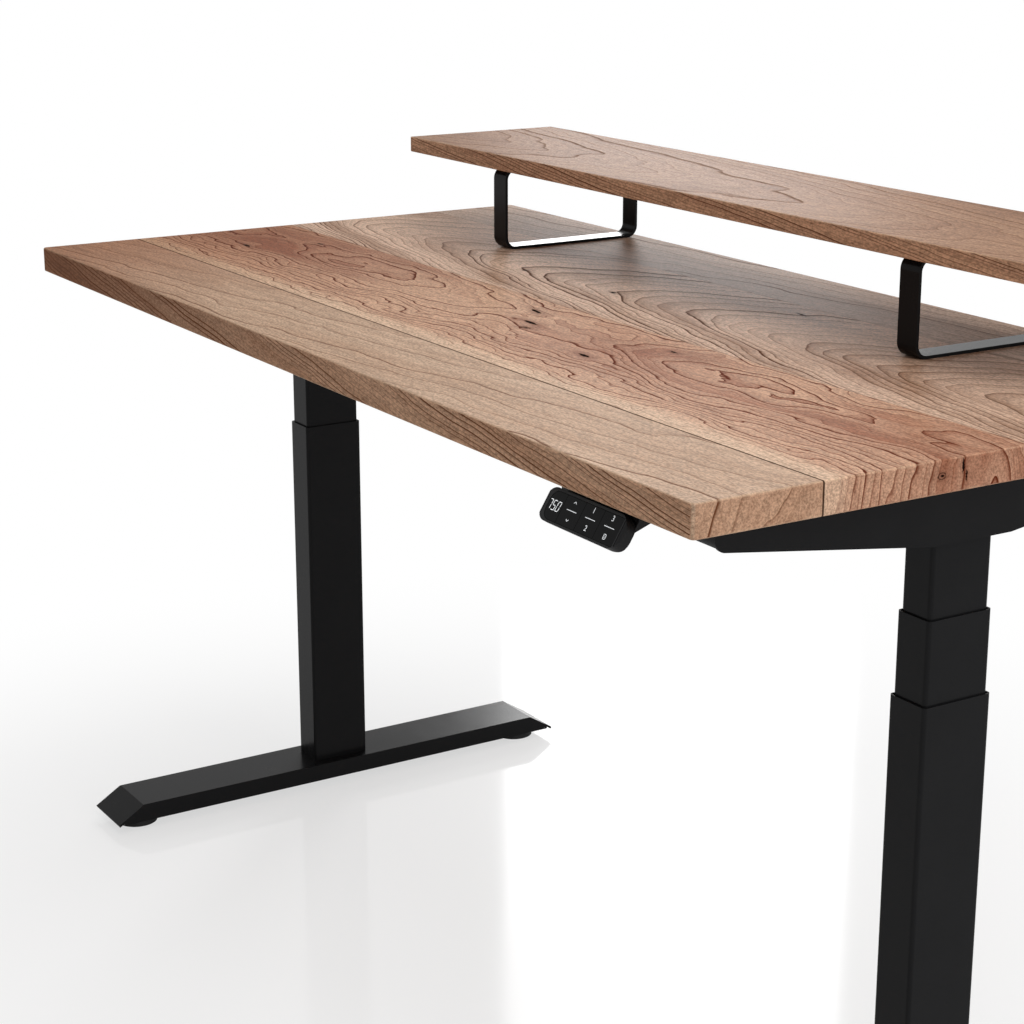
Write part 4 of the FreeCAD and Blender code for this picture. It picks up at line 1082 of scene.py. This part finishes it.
@dataclass(frozen=True)
class SkinFinish:
    """A sprayed, plated, cast or moulded surface with a pebbled skin. Lengths are millimetres.

    Colour and roughness go from the first to the second where the skin's tone is high.
    """

    name: str
    dark: Colour
    light: Colour
    roughness: Pair
    pebble: float
    relief: float
    metal: Metalness = Metalness.COATED
    shine: float = 0.5
    glow: float = 0.0
    cloud_share: float = 0.7
    pebble_share: float = 0.3
    tone_range: Pair = (0.25, 0.75)
    relief_strength: float = 0.3

    def build(self, effects: Effects) -> bpy.types.Material:
        """Make the material.

        Args:
            effects: The shared effects.

        Returns:
            The material.
        """
        bench, surface, position = begin_material(self.name)
        skin = bench.use(effects.peel, Position=position, Pebble=self.pebble)
        tone = bench.times_plus(skin["Cloud"], self.cloud_share,
                                bench.times(skin["Height"], self.pebble_share))
        colour = bench.blend(tone, paint(self.dark), paint(self.light))
        bench.join(colour, surface.inputs["Base Color"])
        bench.join(bench.smooth(tone, *self.tone_range, *self.roughness),
                   surface.inputs["Roughness"])
        bench.join(self.metal.value, surface.inputs["Metallic"])
        bench.join(self.shine, surface.inputs["Specular IOR Level"])
        if self.glow:
            bench.join(colour, surface.inputs["Emission Color"])
            bench.join(self.glow, surface.inputs["Emission Strength"])
        add_bump(bench, surface, skin["Height"], self.relief_strength, self.relief * MILLIMETRE)
        return bpy.data.materials[self.name]


SKINS = {
    "black_steel": SkinFinish(
        "black powder coat", (22, 22, 23), (30, 30, 31), (0.2, 0.28), 0.7, 0.03, shine=0.06),
    "plain_steel": SkinFinish(
        "drawn steel tube", (150, 152, 156), (188, 190, 193), (0.3, 0.45), 0.5, 0.03,
        Metalness.METAL),
    "spindle_steel": SkinFinish(
        "greased screw steel", (158, 156, 150), (196, 195, 190), (0.22, 0.36), 0.4, 0.03,
        Metalness.METAL),
    "bolt_steel": SkinFinish(
        "black oxide steel", (44, 44, 46), (66, 66, 68), (0.34, 0.48), 0.3, 0.02,
        Metalness.METAL),
    "motor_steel": SkinFinish(
        "plated motor can", (104, 105, 107), (132, 133, 134), (0.26, 0.4), 0.6, 0.03,
        Metalness.METAL),
    "gearbox_metal": SkinFinish(
        "die-cast housing", (130, 131, 133), (162, 163, 165), (0.42, 0.58), 0.9, 0.08,
        Metalness.METAL),
    "slide_plastic": SkinFinish(
        "black glide plastic", (26, 26, 27), (36, 36, 37), (0.4, 0.52), 0.5, 0.02, shine=0.3),
    "nut_plastic": SkinFinish(
        "pale nut plastic", (214, 211, 202), (226, 223, 215), (0.42, 0.52), 0.5, 0.02),
    "pad_plastic": SkinFinish(
        "pad rubber", (20, 20, 21), (30, 30, 31), (0.55, 0.7), 0.6, 0.05, shine=0.25),
    "box_plastic": SkinFinish(
        "eroded box plastic", (24, 24, 25), (34, 34, 35), (0.48, 0.6), 0.6, 0.06, shine=0.3),
    "handset_plastic": SkinFinish(
        "matt handset plastic", (18, 18, 19), (26, 26, 27), (0.4, 0.5), 0.4, 0.03, shine=0.15),
    "handset_gloss": SkinFinish(
        "gloss handset face", (9, 9, 10), (13, 13, 14), (0.1, 0.18), 0.8, 0.004, shine=0.06),
}
# The key print glows a little: painted light that keeps it bright on the handset's shaded face.
KEY_INK = SkinFinish(
    "key print with painted glow", (214, 218, 220), (232, 235, 237), (0.4, 0.5), 0.3, 0.01, glow=0.45)
DIGIT_LIGHT = SkinFinish(
    "lit display digits", (228, 232, 234), (244, 246, 247), (0.35, 0.45), 0.3, 0.01, glow=0.7)


def place_piece(name: str, shape: Shape, body: str,
                finish: bpy.types.Material) -> bpy.types.Object:
    """Turn a finished shape into a piece of the desk.

    Args:
        name: The piece's name.
        shape: Its mesh, already in place; it is freed.
        body: The body that it moves with.
        finish: Its material.

    Returns:
        The piece.
    """
    mesh = bpy.data.meshes.new(name)
    shape.to_mesh(mesh)
    shape.free()
    mesh.materials.append(finish)
    piece = bpy.data.objects.new(name, mesh)
    bpy.context.scene.collection.objects.link(piece)
    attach(piece, body)
    LOG.info("built %s: %d faces on %s", name, len(mesh.polygons), body)
    return piece


def merge_into(shape: Shape, part: Shape) -> None:
    """Add one shape to another and free it.

    Args:
        shape: The shape that grows.
        part: The shape that is added.
    """
    mesh = bpy.data.meshes.new("part")
    part.to_mesh(mesh)
    part.free()
    shape.from_mesh(mesh)
    bpy.data.meshes.remove(mesh)


class Recess(Enum):
    """The drive in a screw's head: how far out its corners go in turn, in shares of its radius."""

    HEXAGON = (1.0,) * 6
    CROSS = (1.0, 1.0, 0.34) * 4


@dataclass(frozen=True)
class ScrewSize:
    """The sizes of one screw, in metres."""

    head_radius: float
    head_height: float
    shank_radius: float
    length: float


@dataclass(frozen=True)
class Fastener:
    """One screw: where its head starts, which way it points, and its sizes."""

    start: Vector
    direction: Vector
    size: ScrewSize


@dataclass
class FastenerSet:
    """A set of like screws, modelled with drive, rounded head, thread and tip.

    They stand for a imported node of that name, or are extra screws where their places are given.
    """

    name: str
    body: str
    recess: Recess
    pitch: float
    places: tuple[Fastener, ...] = ()
    flat_head: bool = False
    recess_share: float = 0.5
    recess_depth: float = 0.0014
    recess_taper: float = 0.86
    dome: tuple[Pair, ...] = ((0.62, 0.0), (0.84, 0.12), (0.97, 0.42), (1.0, 0.7))
    edge_round: float = 0.0002
    thread_depth: float = 0.0004
    tip_share: float = 0.35
    turns: int = 24

    def build(self, finish: bpy.types.Material) -> bpy.types.Object:
        """Model every screw and hide the plain ones that it stands for.

        Args:
            finish: What the screws are made of.

        Returns:
            The piece.
        """
        shape = bmesh.new()
        for fastener in self.places or self._found():
            self._add(shape, fastener)
        bmesh.ops.recalc_face_normals(shape, faces=shape.faces)
        piece = place_piece(f"{self.name}_with_drives", shape, self.body, finish)
        if not self.places:
            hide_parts(self.name)
        return piece

    def _found(self) -> list[Fastener]:
        """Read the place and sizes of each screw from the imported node.

        Returns:
            The screws.
        """
        shape = bmesh.new()
        shape.from_mesh(bpy.data.objects[self.name].data)
        bmesh.ops.remove_doubles(shape, verts=shape.verts, dist=SAME_PLACE)
        known: set[bmesh.types.BMVert] = set()
        found = []
        for vert in shape.verts:
            if vert not in known:
                island = self._island(vert)
                known |= island
                found.append(self._measured([corner.co.copy() for corner in island]))
        shape.free()
        return found

    @staticmethod
    def _island(seed: bmesh.types.BMVert) -> set[bmesh.types.BMVert]:
        """Collect the corners that hang together with one corner.

        Args:
            seed: The corner to start from.

        Returns:
            The corners, with the first.
        """
        island = {seed}
        edge_of = [seed]
        while edge_of:
            vert = edge_of.pop()
            for edge in vert.link_edges:
                other = edge.other_vert(vert)
                if other not in island:
                    island.add(other)
                    edge_of.append(other)
        return island

    @staticmethod
    def _measured(points: list[Vector]) -> Fastener:
        """Measure one screw from its corners.

        Args:
            points: The corners of the plain screw.

        Returns:
            Its place and sizes, with the head at the wider end.
        """
        low, high = box_round(points)
        size = high - low
        along = max(range(3), key=lambda axis: size[axis])
        middle = (low + high) / 2.0

        def radius(level: float) -> float:
            """Find the largest distance from the axis at one level along it.

            Args:
                level: The place along the axis.

            Returns:
                The distance.
            """
            ring = [point for point in points if abs(point[along] - level) < SAME_LEVEL]
            return max(math.dist([point[a] - middle[a] for a in range(3) if a != along], (0.0, 0.0))
                       for point in ring)

        head_first = radius(low[along]) > radius(high[along])
        direction = (Vector([float(axis == along) for axis in range(3)])
                     * (1.0 if head_first else -1.0))
        start = middle.copy()
        start[along] = low[along] if head_first else high[along]
        depths = sorted({round(abs(point[along] - start[along]), 5) for point in points})
        tip = start + direction * depths[-1]
        return Fastener(start, direction,
                        ScrewSize(radius(start[along]), depths[1], radius(tip[along]), depths[-1]))

    def _profile(self, size: ScrewSize) -> list[Pair]:
        """Draw half of a screw, from the rim of its drive to its tip.

        Args:
            size: The screw's sizes.

        Returns:
            The outline's corners, as radius and depth.
        """
        head, height, shank = size.head_radius, size.head_height, size.shank_radius
        if self.flat_head:
            points = [(head - self.edge_round, 0.0), (head, self.edge_round)]
        else:
            points = [(wide * head, deep * height) for wide, deep in self.dome]
            points += [(head, height - self.edge_round), (head - self.edge_round, height)]
        points.append((shank, height))
        depth = height + self.pitch
        while depth < size.length - 2.0 * self.pitch:
            points += [(shank, depth), (shank - self.thread_depth, depth + 0.5 * self.pitch)]
            depth += self.pitch
        return points + [(shank, depth), (self.tip_share * shank, size.length)]

    def _add(self, shape: Shape, screw: Fastener) -> None:
        """Model one screw into a shape.

        Args:
            shape: Where it goes.
            screw: Its place and sizes.
        """
        part = bmesh.new()
        line = [part.verts.new((radius, 0.0, depth)) for radius, depth in self._profile(screw.size)]
        edges = [part.edges.new(pair) for pair in zip(line, line[1:])]
        bmesh.ops.spin(part, geom=line + edges, cent=(0.0, 0.0, 0.0), axis=(0.0, 0.0, 1.0),
                       angle=math.tau, steps=self.turns, use_merge=True)
        deepest = screw.size.length - SAME_PLACE
        tip = [edge for edge in part.edges if edge.is_boundary and edge.verts[0].co.z > deepest]
        bmesh.ops.edgeloop_fill(part, edges=tip)
        rim = [edge for edge in part.edges if edge.is_boundary]
        corners = self.recess.value
        made = bmesh.ops.create_circle(part, segments=len(corners),
                                       radius=self.recess_share * screw.size.head_radius)
        for vert, share in zip(made["verts"], corners):
            vert.co *= share
        drive = [edge for edge in part.edges if not edge.link_faces]
        bmesh.ops.bridge_loops(part, edges=rim + drive)
        floor = bmesh.ops.edgeloop_fill(part, edges=drive)["faces"]
        sunk = bmesh.ops.extrude_face_region(part, geom=floor)
        bottom = [item for item in sunk["geom"] if isinstance(item, bmesh.types.BMVert)]
        bmesh.ops.delete(part, geom=floor, context="FACES_ONLY")
        for vert in bottom:
            vert.co = Vector((*(self.recess_taper * vert.co.xy), self.recess_depth))
        turn = Vector((0.0, 0.0, 1.0)).rotation_difference(screw.direction).to_matrix().to_4x4()
        part.transform(Matrix.Translation(screw.start) @ turn)
        merge_into(shape, part)


@dataclass
class UndersideScrews:
    """Every screw of the desk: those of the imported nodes, and small ones in cover and motors."""

    wood_pitch: float = 0.0018
    bolt_pitch: float = 0.001
    small_pitch: float = 0.0009
    small_recess: float = 0.0009
    cover_screw: ScrewSize = ScrewSize(0.003, 0.0016, 0.0014, 0.0044)
    cover_inset: float = 0.009
    motor_screw: ScrewSize = ScrewSize(0.0026, 0.0016, 0.0013, 0.006)
    motor_circle: float = 0.021
    motor_cap: float = 0.009
    motor_count: int = 3

    def build(self, finish: bpy.types.Material) -> None:
        """Model all the screws.

        Args:
            finish: What they are made of.
        """
        sets = (FastenerSet("wood_screws", "top", Recess.CROSS, self.wood_pitch),
                FastenerSet("bracket_screws", "top", Recess.CROSS, self.wood_pitch, flat_head=True),
                FastenerSet("head_bolts", "top", Recess.HEXAGON, self.bolt_pitch, flat_head=True),
                FastenerSet("rail_bolts", "top", Recess.HEXAGON, self.bolt_pitch),
                FastenerSet("foot_bolts", "base", Recess.HEXAGON, self.bolt_pitch),
                FastenerSet("box_cover_screws", "top", Recess.CROSS, self.small_pitch,
                            self._cover_places(), recess_depth=self.small_recess),
                FastenerSet("motor_screws", "top", Recess.CROSS, self.small_pitch,
                            self._motor_places(), recess_depth=self.small_recess))
        for screws in sets:
            screws.build(finish)

    def _cover_places(self) -> tuple[Fastener, ...]:
        """Put one screw near each corner of the control box's cover, from below.

        Returns:
            The screws.
        """
        low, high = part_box("control_box_cover")
        inset, level = self.cover_inset, low.z - self.cover_screw.head_height
        return tuple(Fastener(Vector((x, y, level)), Vector((0.0, 0.0, 1.0)), self.cover_screw)
                     for x in (low.x + inset, high.x - inset)
                     for y in (low.y + inset, high.y - inset))

    def _motor_places(self) -> tuple[Fastener, ...]:
        """Put a ring of screws in the inner end of each motor.

        Returns:
            The screws.
        """
        places = []
        for node, side in (("left_motor", -1.0), ("right_motor", 1.0)):
            low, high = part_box(node)
            end = high.x if side < 0.0 else low.x
            face = end + side * self.motor_cap - side * self.motor_screw.head_height
            middle = (low + high) / 2.0
            for step in range(self.motor_count):
                angle = math.tau * step / self.motor_count + math.pi / 2.0
                start = Vector((face, middle.y + self.motor_circle * math.cos(angle),
                                middle.z + self.motor_circle * math.sin(angle)))
                places.append(Fastener(start, Vector((side, 0.0, 0.0)), self.motor_screw))
        return tuple(places)


@dataclass(frozen=True)
class Stroke:
    """A straight printed line on the handset's face, in millimetres: where it starts and ends."""

    start: Pair
    end: Pair
    width: float

    @classmethod
    def bar(cls, x: float, level: float, half: float, width: float) -> Stroke:
        """Draw a level line about one place."""
        return cls((x - half, level), (x + half, level), width)


@dataclass
class HandsetPrint:
    """The printed signs and lit digits on the tilted handset. Lengths are millimetres.

    On the face, the first number runs along the desk and the second up the face.
    """

    bottom: float = 704.5105  # the level of the face's lower edge
    tilt: float = 32.0  # degrees back from upright
    sink: float = 0.21
    film: float = 0.05
    stroke: float = 0.62
    high_sign: float = 24.3
    low_sign: float = 8.0
    dash_level: float = 16.6
    dash_length: float = 15.0
    arrow_half: Pair = (2.0, 1.1)
    card_half: Pair = (1.6, 2.1)
    card_line_half: Pair = (0.9, 0.7)
    card_line_width: float = 0.5
    number_size: float = 7.2
    number_steps: int = 4
    reading: str = "750"
    digit_size: Pair = (4.1, 8.6)
    digit_step: float = 6.3
    digit_level: float = 11.3
    digit_slant: float = 0.12
    point_back: float = 1.0
    point_half: float = 0.5
    point_width: float = 0.8

    def build(self, ink: bpy.types.Material, light: bpy.types.Material) -> None:
        """Print every sign on the display and the keys.

        Args:
            ink: The print on the keys.
            light: The lit digits.
        """
        self._place("height_digits", self._digits(self.reading), "top", light)
        for key, draw in (("height_key", self._arrow_signs),
                          ("first_preset_key", self._preset_signs),
                          ("second_preset_key", self._memory_signs)):
            low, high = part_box(key)
            middle = (low.x + high.x) / 2.0 / MILLIMETRE
            self._place(f"{key}_signs", draw(middle), f"{key}_rocker", ink)

    def _place(self, name: str, shape: Shape, body: str, finish: bpy.types.Material) -> None:
        """Lay flat signs on the tilted face and give them the thickness of the film.

        Args:
            name: The piece's name.
            shape: The signs, flat, in millimetres.
            body: The body that they move with.
            finish: Their material.
        """
        grown = bmesh.ops.extrude_face_region(shape, geom=shape.faces[:])
        raised = [item for item in grown["geom"] if isinstance(item, bmesh.types.BMVert)]
        bmesh.ops.translate(shape, verts=raised, vec=(0.0, 0.0, self.film))
        bmesh.ops.recalc_face_normals(shape, faces=shape.faces)
        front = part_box("handset_housing")[0].y / MILLIMETRE
        sine, cosine = math.sin(math.radians(self.tilt)), math.cos(math.radians(self.tilt))
        face = Matrix(((1.0, 0.0, 0.0, 0.0), (0.0, sine, -cosine, front),
                       (0.0, cosine, sine, self.bottom), (0.0, 0.0, 0.0, 1.0)))
        shape.transform(Matrix.Scale(MILLIMETRE, 4) @ face
                        @ Matrix.Translation((0.0, 0.0, -self.sink)))
        place_piece(name, shape, body, finish)

    def _strokes(self, strokes: Sequence[Stroke]) -> Shape:
        """Draw flat bars with pointed ends.

        Args:
            strokes: The bars.

        Returns:
            The flat shape, in millimetres.
        """
        shape = bmesh.new()
        for stroke in strokes:
            run = Vector(stroke.end) - Vector(stroke.start)
            half = run.length / 2.0
            bar = bmesh.ops.create_circle(shape, cap_ends=True, segments=6, radius=1.0)["verts"]
            for vert in bar:
                shoulder = abs(vert.co.y) > SAME_LEVEL
                reach = half - stroke.width / 2.0 if shoulder else half
                side = math.copysign(stroke.width / 2.0, vert.co.y) if shoulder else 0.0
                vert.co = Vector((math.copysign(reach, vert.co.x), side, 0.0))
            turn = Matrix.Rotation(math.atan2(run.y, run.x), 4, "Z")
            middle = (Vector(stroke.start) + Vector(stroke.end)) / 2.0
            bmesh.ops.transform(shape, matrix=Matrix.Translation(middle.to_3d()) @ turn, verts=bar)
        return shape

    def _dash(self, x: float) -> Stroke:
        """Draw the line between a key's two signs."""
        return Stroke.bar(x, self.dash_level, self.dash_length / 2.0, self.stroke)

    def _arrow(self, x: float, level: float, up: float) -> list[Stroke]:
        """Draw an open arrowhead.

        Args:
            x: Its middle along the desk.
            level: Its middle up the face.
            up: 1 where it points up the face, and -1 where it points down.

        Returns:
            Its two sides.
        """
        reach, rise = self.arrow_half[0], self.arrow_half[1] * up
        tip = (x, level + rise)
        return [Stroke((x + side * reach, level - rise), tip, self.stroke) for side in (-1.0, 1.0)]

    def _card(self, x: float, level: float) -> list[Stroke]:
        """Draw a small card with two lines.

        Args:
            x: Its middle along the desk.
            level: Its middle up the face.

        Returns:
            Its sides and lines.
        """
        wide, high = self.card_half
        corners = [(x - wide, level - high), (x + wide, level - high), (x + wide, level + high),
                   (x - wide, level + high)]
        sides = [Stroke(a, b, self.stroke) for a, b in zip(corners, corners[1:] + corners[:1])]
        half, step = self.card_line_half
        return sides + [Stroke.bar(x, level + way * step, half, self.card_line_width)
                        for way in (-1.0, 1.0)]

    def _digits(self, text: str) -> Shape:
        """Draw seven-segment digits from the display's left edge, with a point before the last one.

        Args:
            text: The digits.

        Returns:
            The flat shape, in millimetres.
        """
        wide, high = self.digit_size
        posts = {"top": ((0.0, high), (wide, high)),
                 "middle": ((0.0, high / 2), (wide, high / 2)),
                 "base": ((0.0, 0.0), (wide, 0.0)),
                 "left_high": ((0.0, high / 2), (0.0, high)),
                 "left_low": ((0.0, 0.0), (0.0, high / 2)),
                 "right_high": ((wide, high / 2), (wide, high)),
                 "right_low": ((wide, 0.0), (wide, high / 2))}
        lit = {"7": "top right_high right_low",
               "5": "top left_high middle right_low base",
               "0": "top left_high left_low right_high right_low base"}
        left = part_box("handset_display")[0].x / MILLIMETRE
        strokes = []
        for place, digit in enumerate(text):
            for name in lit[digit].split():
                start, end = ((left + place * self.digit_step + x + self.digit_slant * y,
                               self.digit_level + y) for x, y in posts[name])
                strokes.append(Stroke(start, end, self.stroke))
        point = left + (len(text) - 1) * self.digit_step - self.point_back
        strokes.append(Stroke.bar(point, self.digit_level, self.point_half, self.point_width))
        return self._strokes(strokes)

    def _numbers(self, x: float, numbers: Sequence[tuple[str, float]]) -> Shape:
        """Print a key's dash and its numbers.

        Args:
            x: The middle of the key.
            numbers: Each number and its level up the face.

        Returns:
            The flat shape, in millimetres.
        """
        shape = self._strokes([self._dash(x)])
        for text, level in numbers:
            curve = bpy.data.curves.new("number", "FONT")
            curve.body = text
            curve.size = self.number_size
            curve.align_x = "CENTER"
            curve.align_y = "CENTER"
            curve.resolution_u = self.number_steps
            writing = bpy.data.objects.new("number", curve)
            mesh = bpy.data.meshes.new_from_object(writing)
            mesh.transform(Matrix.Translation((x, level, 0.0)))
            shape.from_mesh(mesh)
            bpy.data.meshes.remove(mesh)
            bpy.data.objects.remove(writing)
            bpy.data.curves.remove(curve)
        return shape

    def _arrow_signs(self, x: float) -> Shape:
        """Draw an arrowhead up and one down, with a dash between them."""
        arrows = self._arrow(x, self.high_sign, 1.0) + self._arrow(x, self.low_sign, -1.0)
        return self._strokes(arrows + [self._dash(x)])

    def _preset_signs(self, x: float) -> Shape:
        """Print the numbers of the first two stored heights."""
        return self._numbers(x, (("1", self.high_sign), ("2", self.low_sign)))

    def _memory_signs(self, x: float) -> Shape:
        """Print the number of the third stored height over the card that stores a height.

        Args:
            x: The middle of the key.

        Returns:
            The flat shape, in millimetres.
        """
        shape = self._strokes(self._card(x, self.low_sign))
        merge_into(shape, self._numbers(x, (("3", self.high_sign),)))
        return shape


@dataclass(frozen=True)
class Panel:
    """A soft panel lamp: its place, what it faces, its width and height, and how bright it is."""

    name: str
    place: Triple
    target: Triple
    size: Pair
    brightness: float

    def build(self) -> None:
        """Hang the lamp."""
        data = bpy.data.lights.new(self.name, "AREA")
        data.shape = "RECTANGLE"
        data.size, data.size_y = self.size
        data.energy = self.brightness * math.pi * self.size[0] * self.size[1]
        lamp = bpy.data.objects.new(self.name, data)
        lamp.location = self.place
        facing = Vector(self.target) - Vector(self.place)
        lamp.rotation_euler = facing.to_track_quat("-Z", "Y").to_euler()
        lamp.visible_camera = False
        bpy.context.scene.collection.objects.link(lamp)


@dataclass
class Studio:
    """Floor, light and camera. Angles are degrees, and the floor's pattern is in millimetres."""

    camera_place: Triple = (2.0506, -1.3469, 1.2426)
    camera_pitch: float = -16.1246
    camera_heading: float = 58.308
    camera_roll: float = -0.025
    camera_lens: float = 79.773
    sensor_width: float = 36.0
    view_reach: float = 200.0
    floor_half: float = 40.0
    floor_colour: Colour = (253, 253, 253)
    floor_shine: float = 0.3
    floor_cloud: Lumps = Lumps((400.0, 400.0, 400.0))
    floor_cloud_range: Pair = (0.2, 0.8)
    floor_roughness: Pair = (0.07, 0.1)
    floor_fade: Pair = (650.0, 1500.0)
    floor_white: Pair = (0.62, 1.0)
    room_light: float = 0.32
    overhead: Panel = Panel("overhead panel", (1.15, 0.1, 3.2), (0.15, 0.0, 0.7), (2.8, 2.4), 2.25)
    side: Panel = Panel("right panel", (3.6, 0.4, 1.8), (0.3, 0.0, 0.7), (2.0, 2.2), 3.0)
    rear_reach: float = 6.0
    rear_aside: float = 0.47
    rear_level: float = 1.4
    rear_size: Pair = (0.98, 2.4)
    rear_brightness: float = 7.8

    def build(self) -> None:
        """Set up everything round the object."""
        self._camera()
        self._floor()
        for panel in (self.overhead, self.side, self._rear_panel()):
            panel.build()
        self._world()
        bpy.context.scene.view_settings.view_transform = "Standard"

    def _camera(self) -> None:
        """Place the camera where the photograph was taken from."""
        data = bpy.data.cameras.new("camera")
        data.lens = self.camera_lens
        data.sensor_width = self.sensor_width
        data.clip_end = self.view_reach
        camera = bpy.data.objects.new("camera", data)
        turn = Euler((math.radians(90.0 + self.camera_pitch), 0.0,
                      math.radians(self.camera_heading)), "XYZ")
        level = turn.to_matrix() @ Matrix.Rotation(math.radians(self.camera_roll), 3, "Z")
        camera.matrix_world = Matrix.Translation(self.camera_place) @ level.to_4x4()
        bpy.context.scene.collection.objects.link(camera)
        bpy.context.scene.camera = camera

    def _floor(self) -> None:
        """Lay a pale, slightly glossy floor that fades into the backdrop."""
        mesh = bpy.data.meshes.new("floor")
        shape = bmesh.new()
        bmesh.ops.create_grid(shape, x_segments=1, y_segments=1, size=self.floor_half)
        shape.to_mesh(mesh)
        shape.free()
        floor = bpy.data.objects.new("floor", mesh)
        bpy.context.scene.collection.objects.link(floor)
        mesh.materials.append(self._floor_finish())

    def _floor_finish(self) -> bpy.types.Material:
        """Make the floor pale near the desk, white far off, and open to a camera below it.

        Returns:
            The material.
        """
        bench, surface, position = begin_material("pale floor")
        cloud = bench.lumps(self.floor_cloud, position)
        bench.join(paint(self.floor_colour), surface.inputs["Base Color"])
        bench.join(bench.smooth(cloud, *self.floor_cloud_range, *self.floor_roughness),
                   surface.inputs["Roughness"])
        bench.join(self.floor_shine, surface.inputs["Specular IOR Level"])
        glow = bench.fill(bench.node("ShaderNodeEmission"), (WHITE,))
        far = bench.smooth(bench.vector("LENGTH", position), *self.floor_fade, *self.floor_white)
        path = bench.node("ShaderNodeLightPath")
        seen = bench.times(self._sees_backdrop(bench, path), far)
        mixed = bench.fill(bench.node("ShaderNodeMixShader"),
                           (seen, surface.outputs[0], glow.outputs[0]))
        below = bench.times(bench.node("ShaderNodeNewGeometry").outputs["Backfacing"],
                            path.outputs["Is Camera Ray"])
        clear = bench.node("ShaderNodeBsdfTransparent")
        opened = bench.fill(bench.node("ShaderNodeMixShader"),
                            (below, mixed.outputs[0], clear.outputs[0]))
        output = next(node for node in bench.tree.nodes if node.type == "OUTPUT_MATERIAL")
        bench.join(opened.outputs[0], output.inputs["Surface"])
        return bpy.data.materials["pale floor"]

    @staticmethod
    def _sees_backdrop(bench: NodeBench, path: bpy.types.Node) -> Socket:
        """Tell the rays that see the white backdrop from those that only carry light.

        Args:
            bench: The tree's bench.
            path: Its light path node.

        Returns:
            1 for camera, glossy and transmission rays, otherwise 0.
        """
        seen = bench.plus(path.outputs["Is Camera Ray"], path.outputs["Is Glossy Ray"])
        return bench.plus(seen, path.outputs["Is Transmission Ray"], clamp=True)

    def _rear_panel(self) -> Panel:
        """Stand a tall panel behind the desk, square to the camera's view.

        Returns:
            The panel.
        """
        heading = math.radians(self.camera_heading)
        forward = Vector((-math.sin(heading), math.cos(heading), 0.0))
        right = Vector((forward.y, -forward.x, 0.0))
        eye = Vector((*self.camera_place[:2], self.rear_level))
        place = eye + self.rear_reach * forward + self.rear_aside * right
        return Panel("tall rear panel", tuple(place), tuple(place - forward), self.rear_size,
                     self.rear_brightness)

    def _world(self) -> None:
        """Surround the scene with white for the camera and a dimmer studio for the light."""
        world = bpy.data.worlds.new("studio")
        world.use_nodes = True
        world.node_tree.nodes.clear()
        bench = NodeBench(world.node_tree)
        seen = self._sees_backdrop(bench, bench.node("ShaderNodeLightPath"))
        back = bench.node("ShaderNodeBackground")
        bench.join(bench.times_plus(seen, 1.0 - self.room_light, self.room_light),
                   back.inputs["Strength"])
        bench.join(WHITE, back.inputs["Color"])
        output = bench.node("ShaderNodeOutputWorld")
        bench.join(back.outputs[0], output.inputs["Surface"])
        bpy.context.scene.world = world


@dataclass
class Frame:
    """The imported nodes, dressed by their material slots."""

    nodes: dict[str, bpy.types.Object]

    def dress(self, finishes: dict[str, bpy.types.Material]) -> None:
        """Put each node's finish in its material slot.

        Args:
            finishes: The materials by the record's slot names.
        """
        for name, node in sorted(self.nodes.items()):
            slot = node.data.materials[0].name.split(".")[0]
            node.data.materials[0] = finishes[slot]
            LOG.info("dressed %s with %s", name, finishes[slot].name)


def main() -> None:
    """Load the frame, dress it, add the small pieces and set up the studio."""
    logging.basicConfig(level=logging.INFO, format="%(name)s: %(message)s")
    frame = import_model()
    effects = Effects()
    builders: dict[str, WoodFinish | SkinFinish] = {**WOODS, **SKINS}
    finishes = {slot: finish.build(effects) for slot, finish in builders.items()}
    Frame(frame["nodes"]).dress(finishes)
    UndersideScrews().build(finishes["bolt_steel"])
    HandsetPrint().build(KEY_INK.build(effects), DIGIT_LIGHT.build(effects))
    Studio().build()


if __name__ == "__main__":
    main()
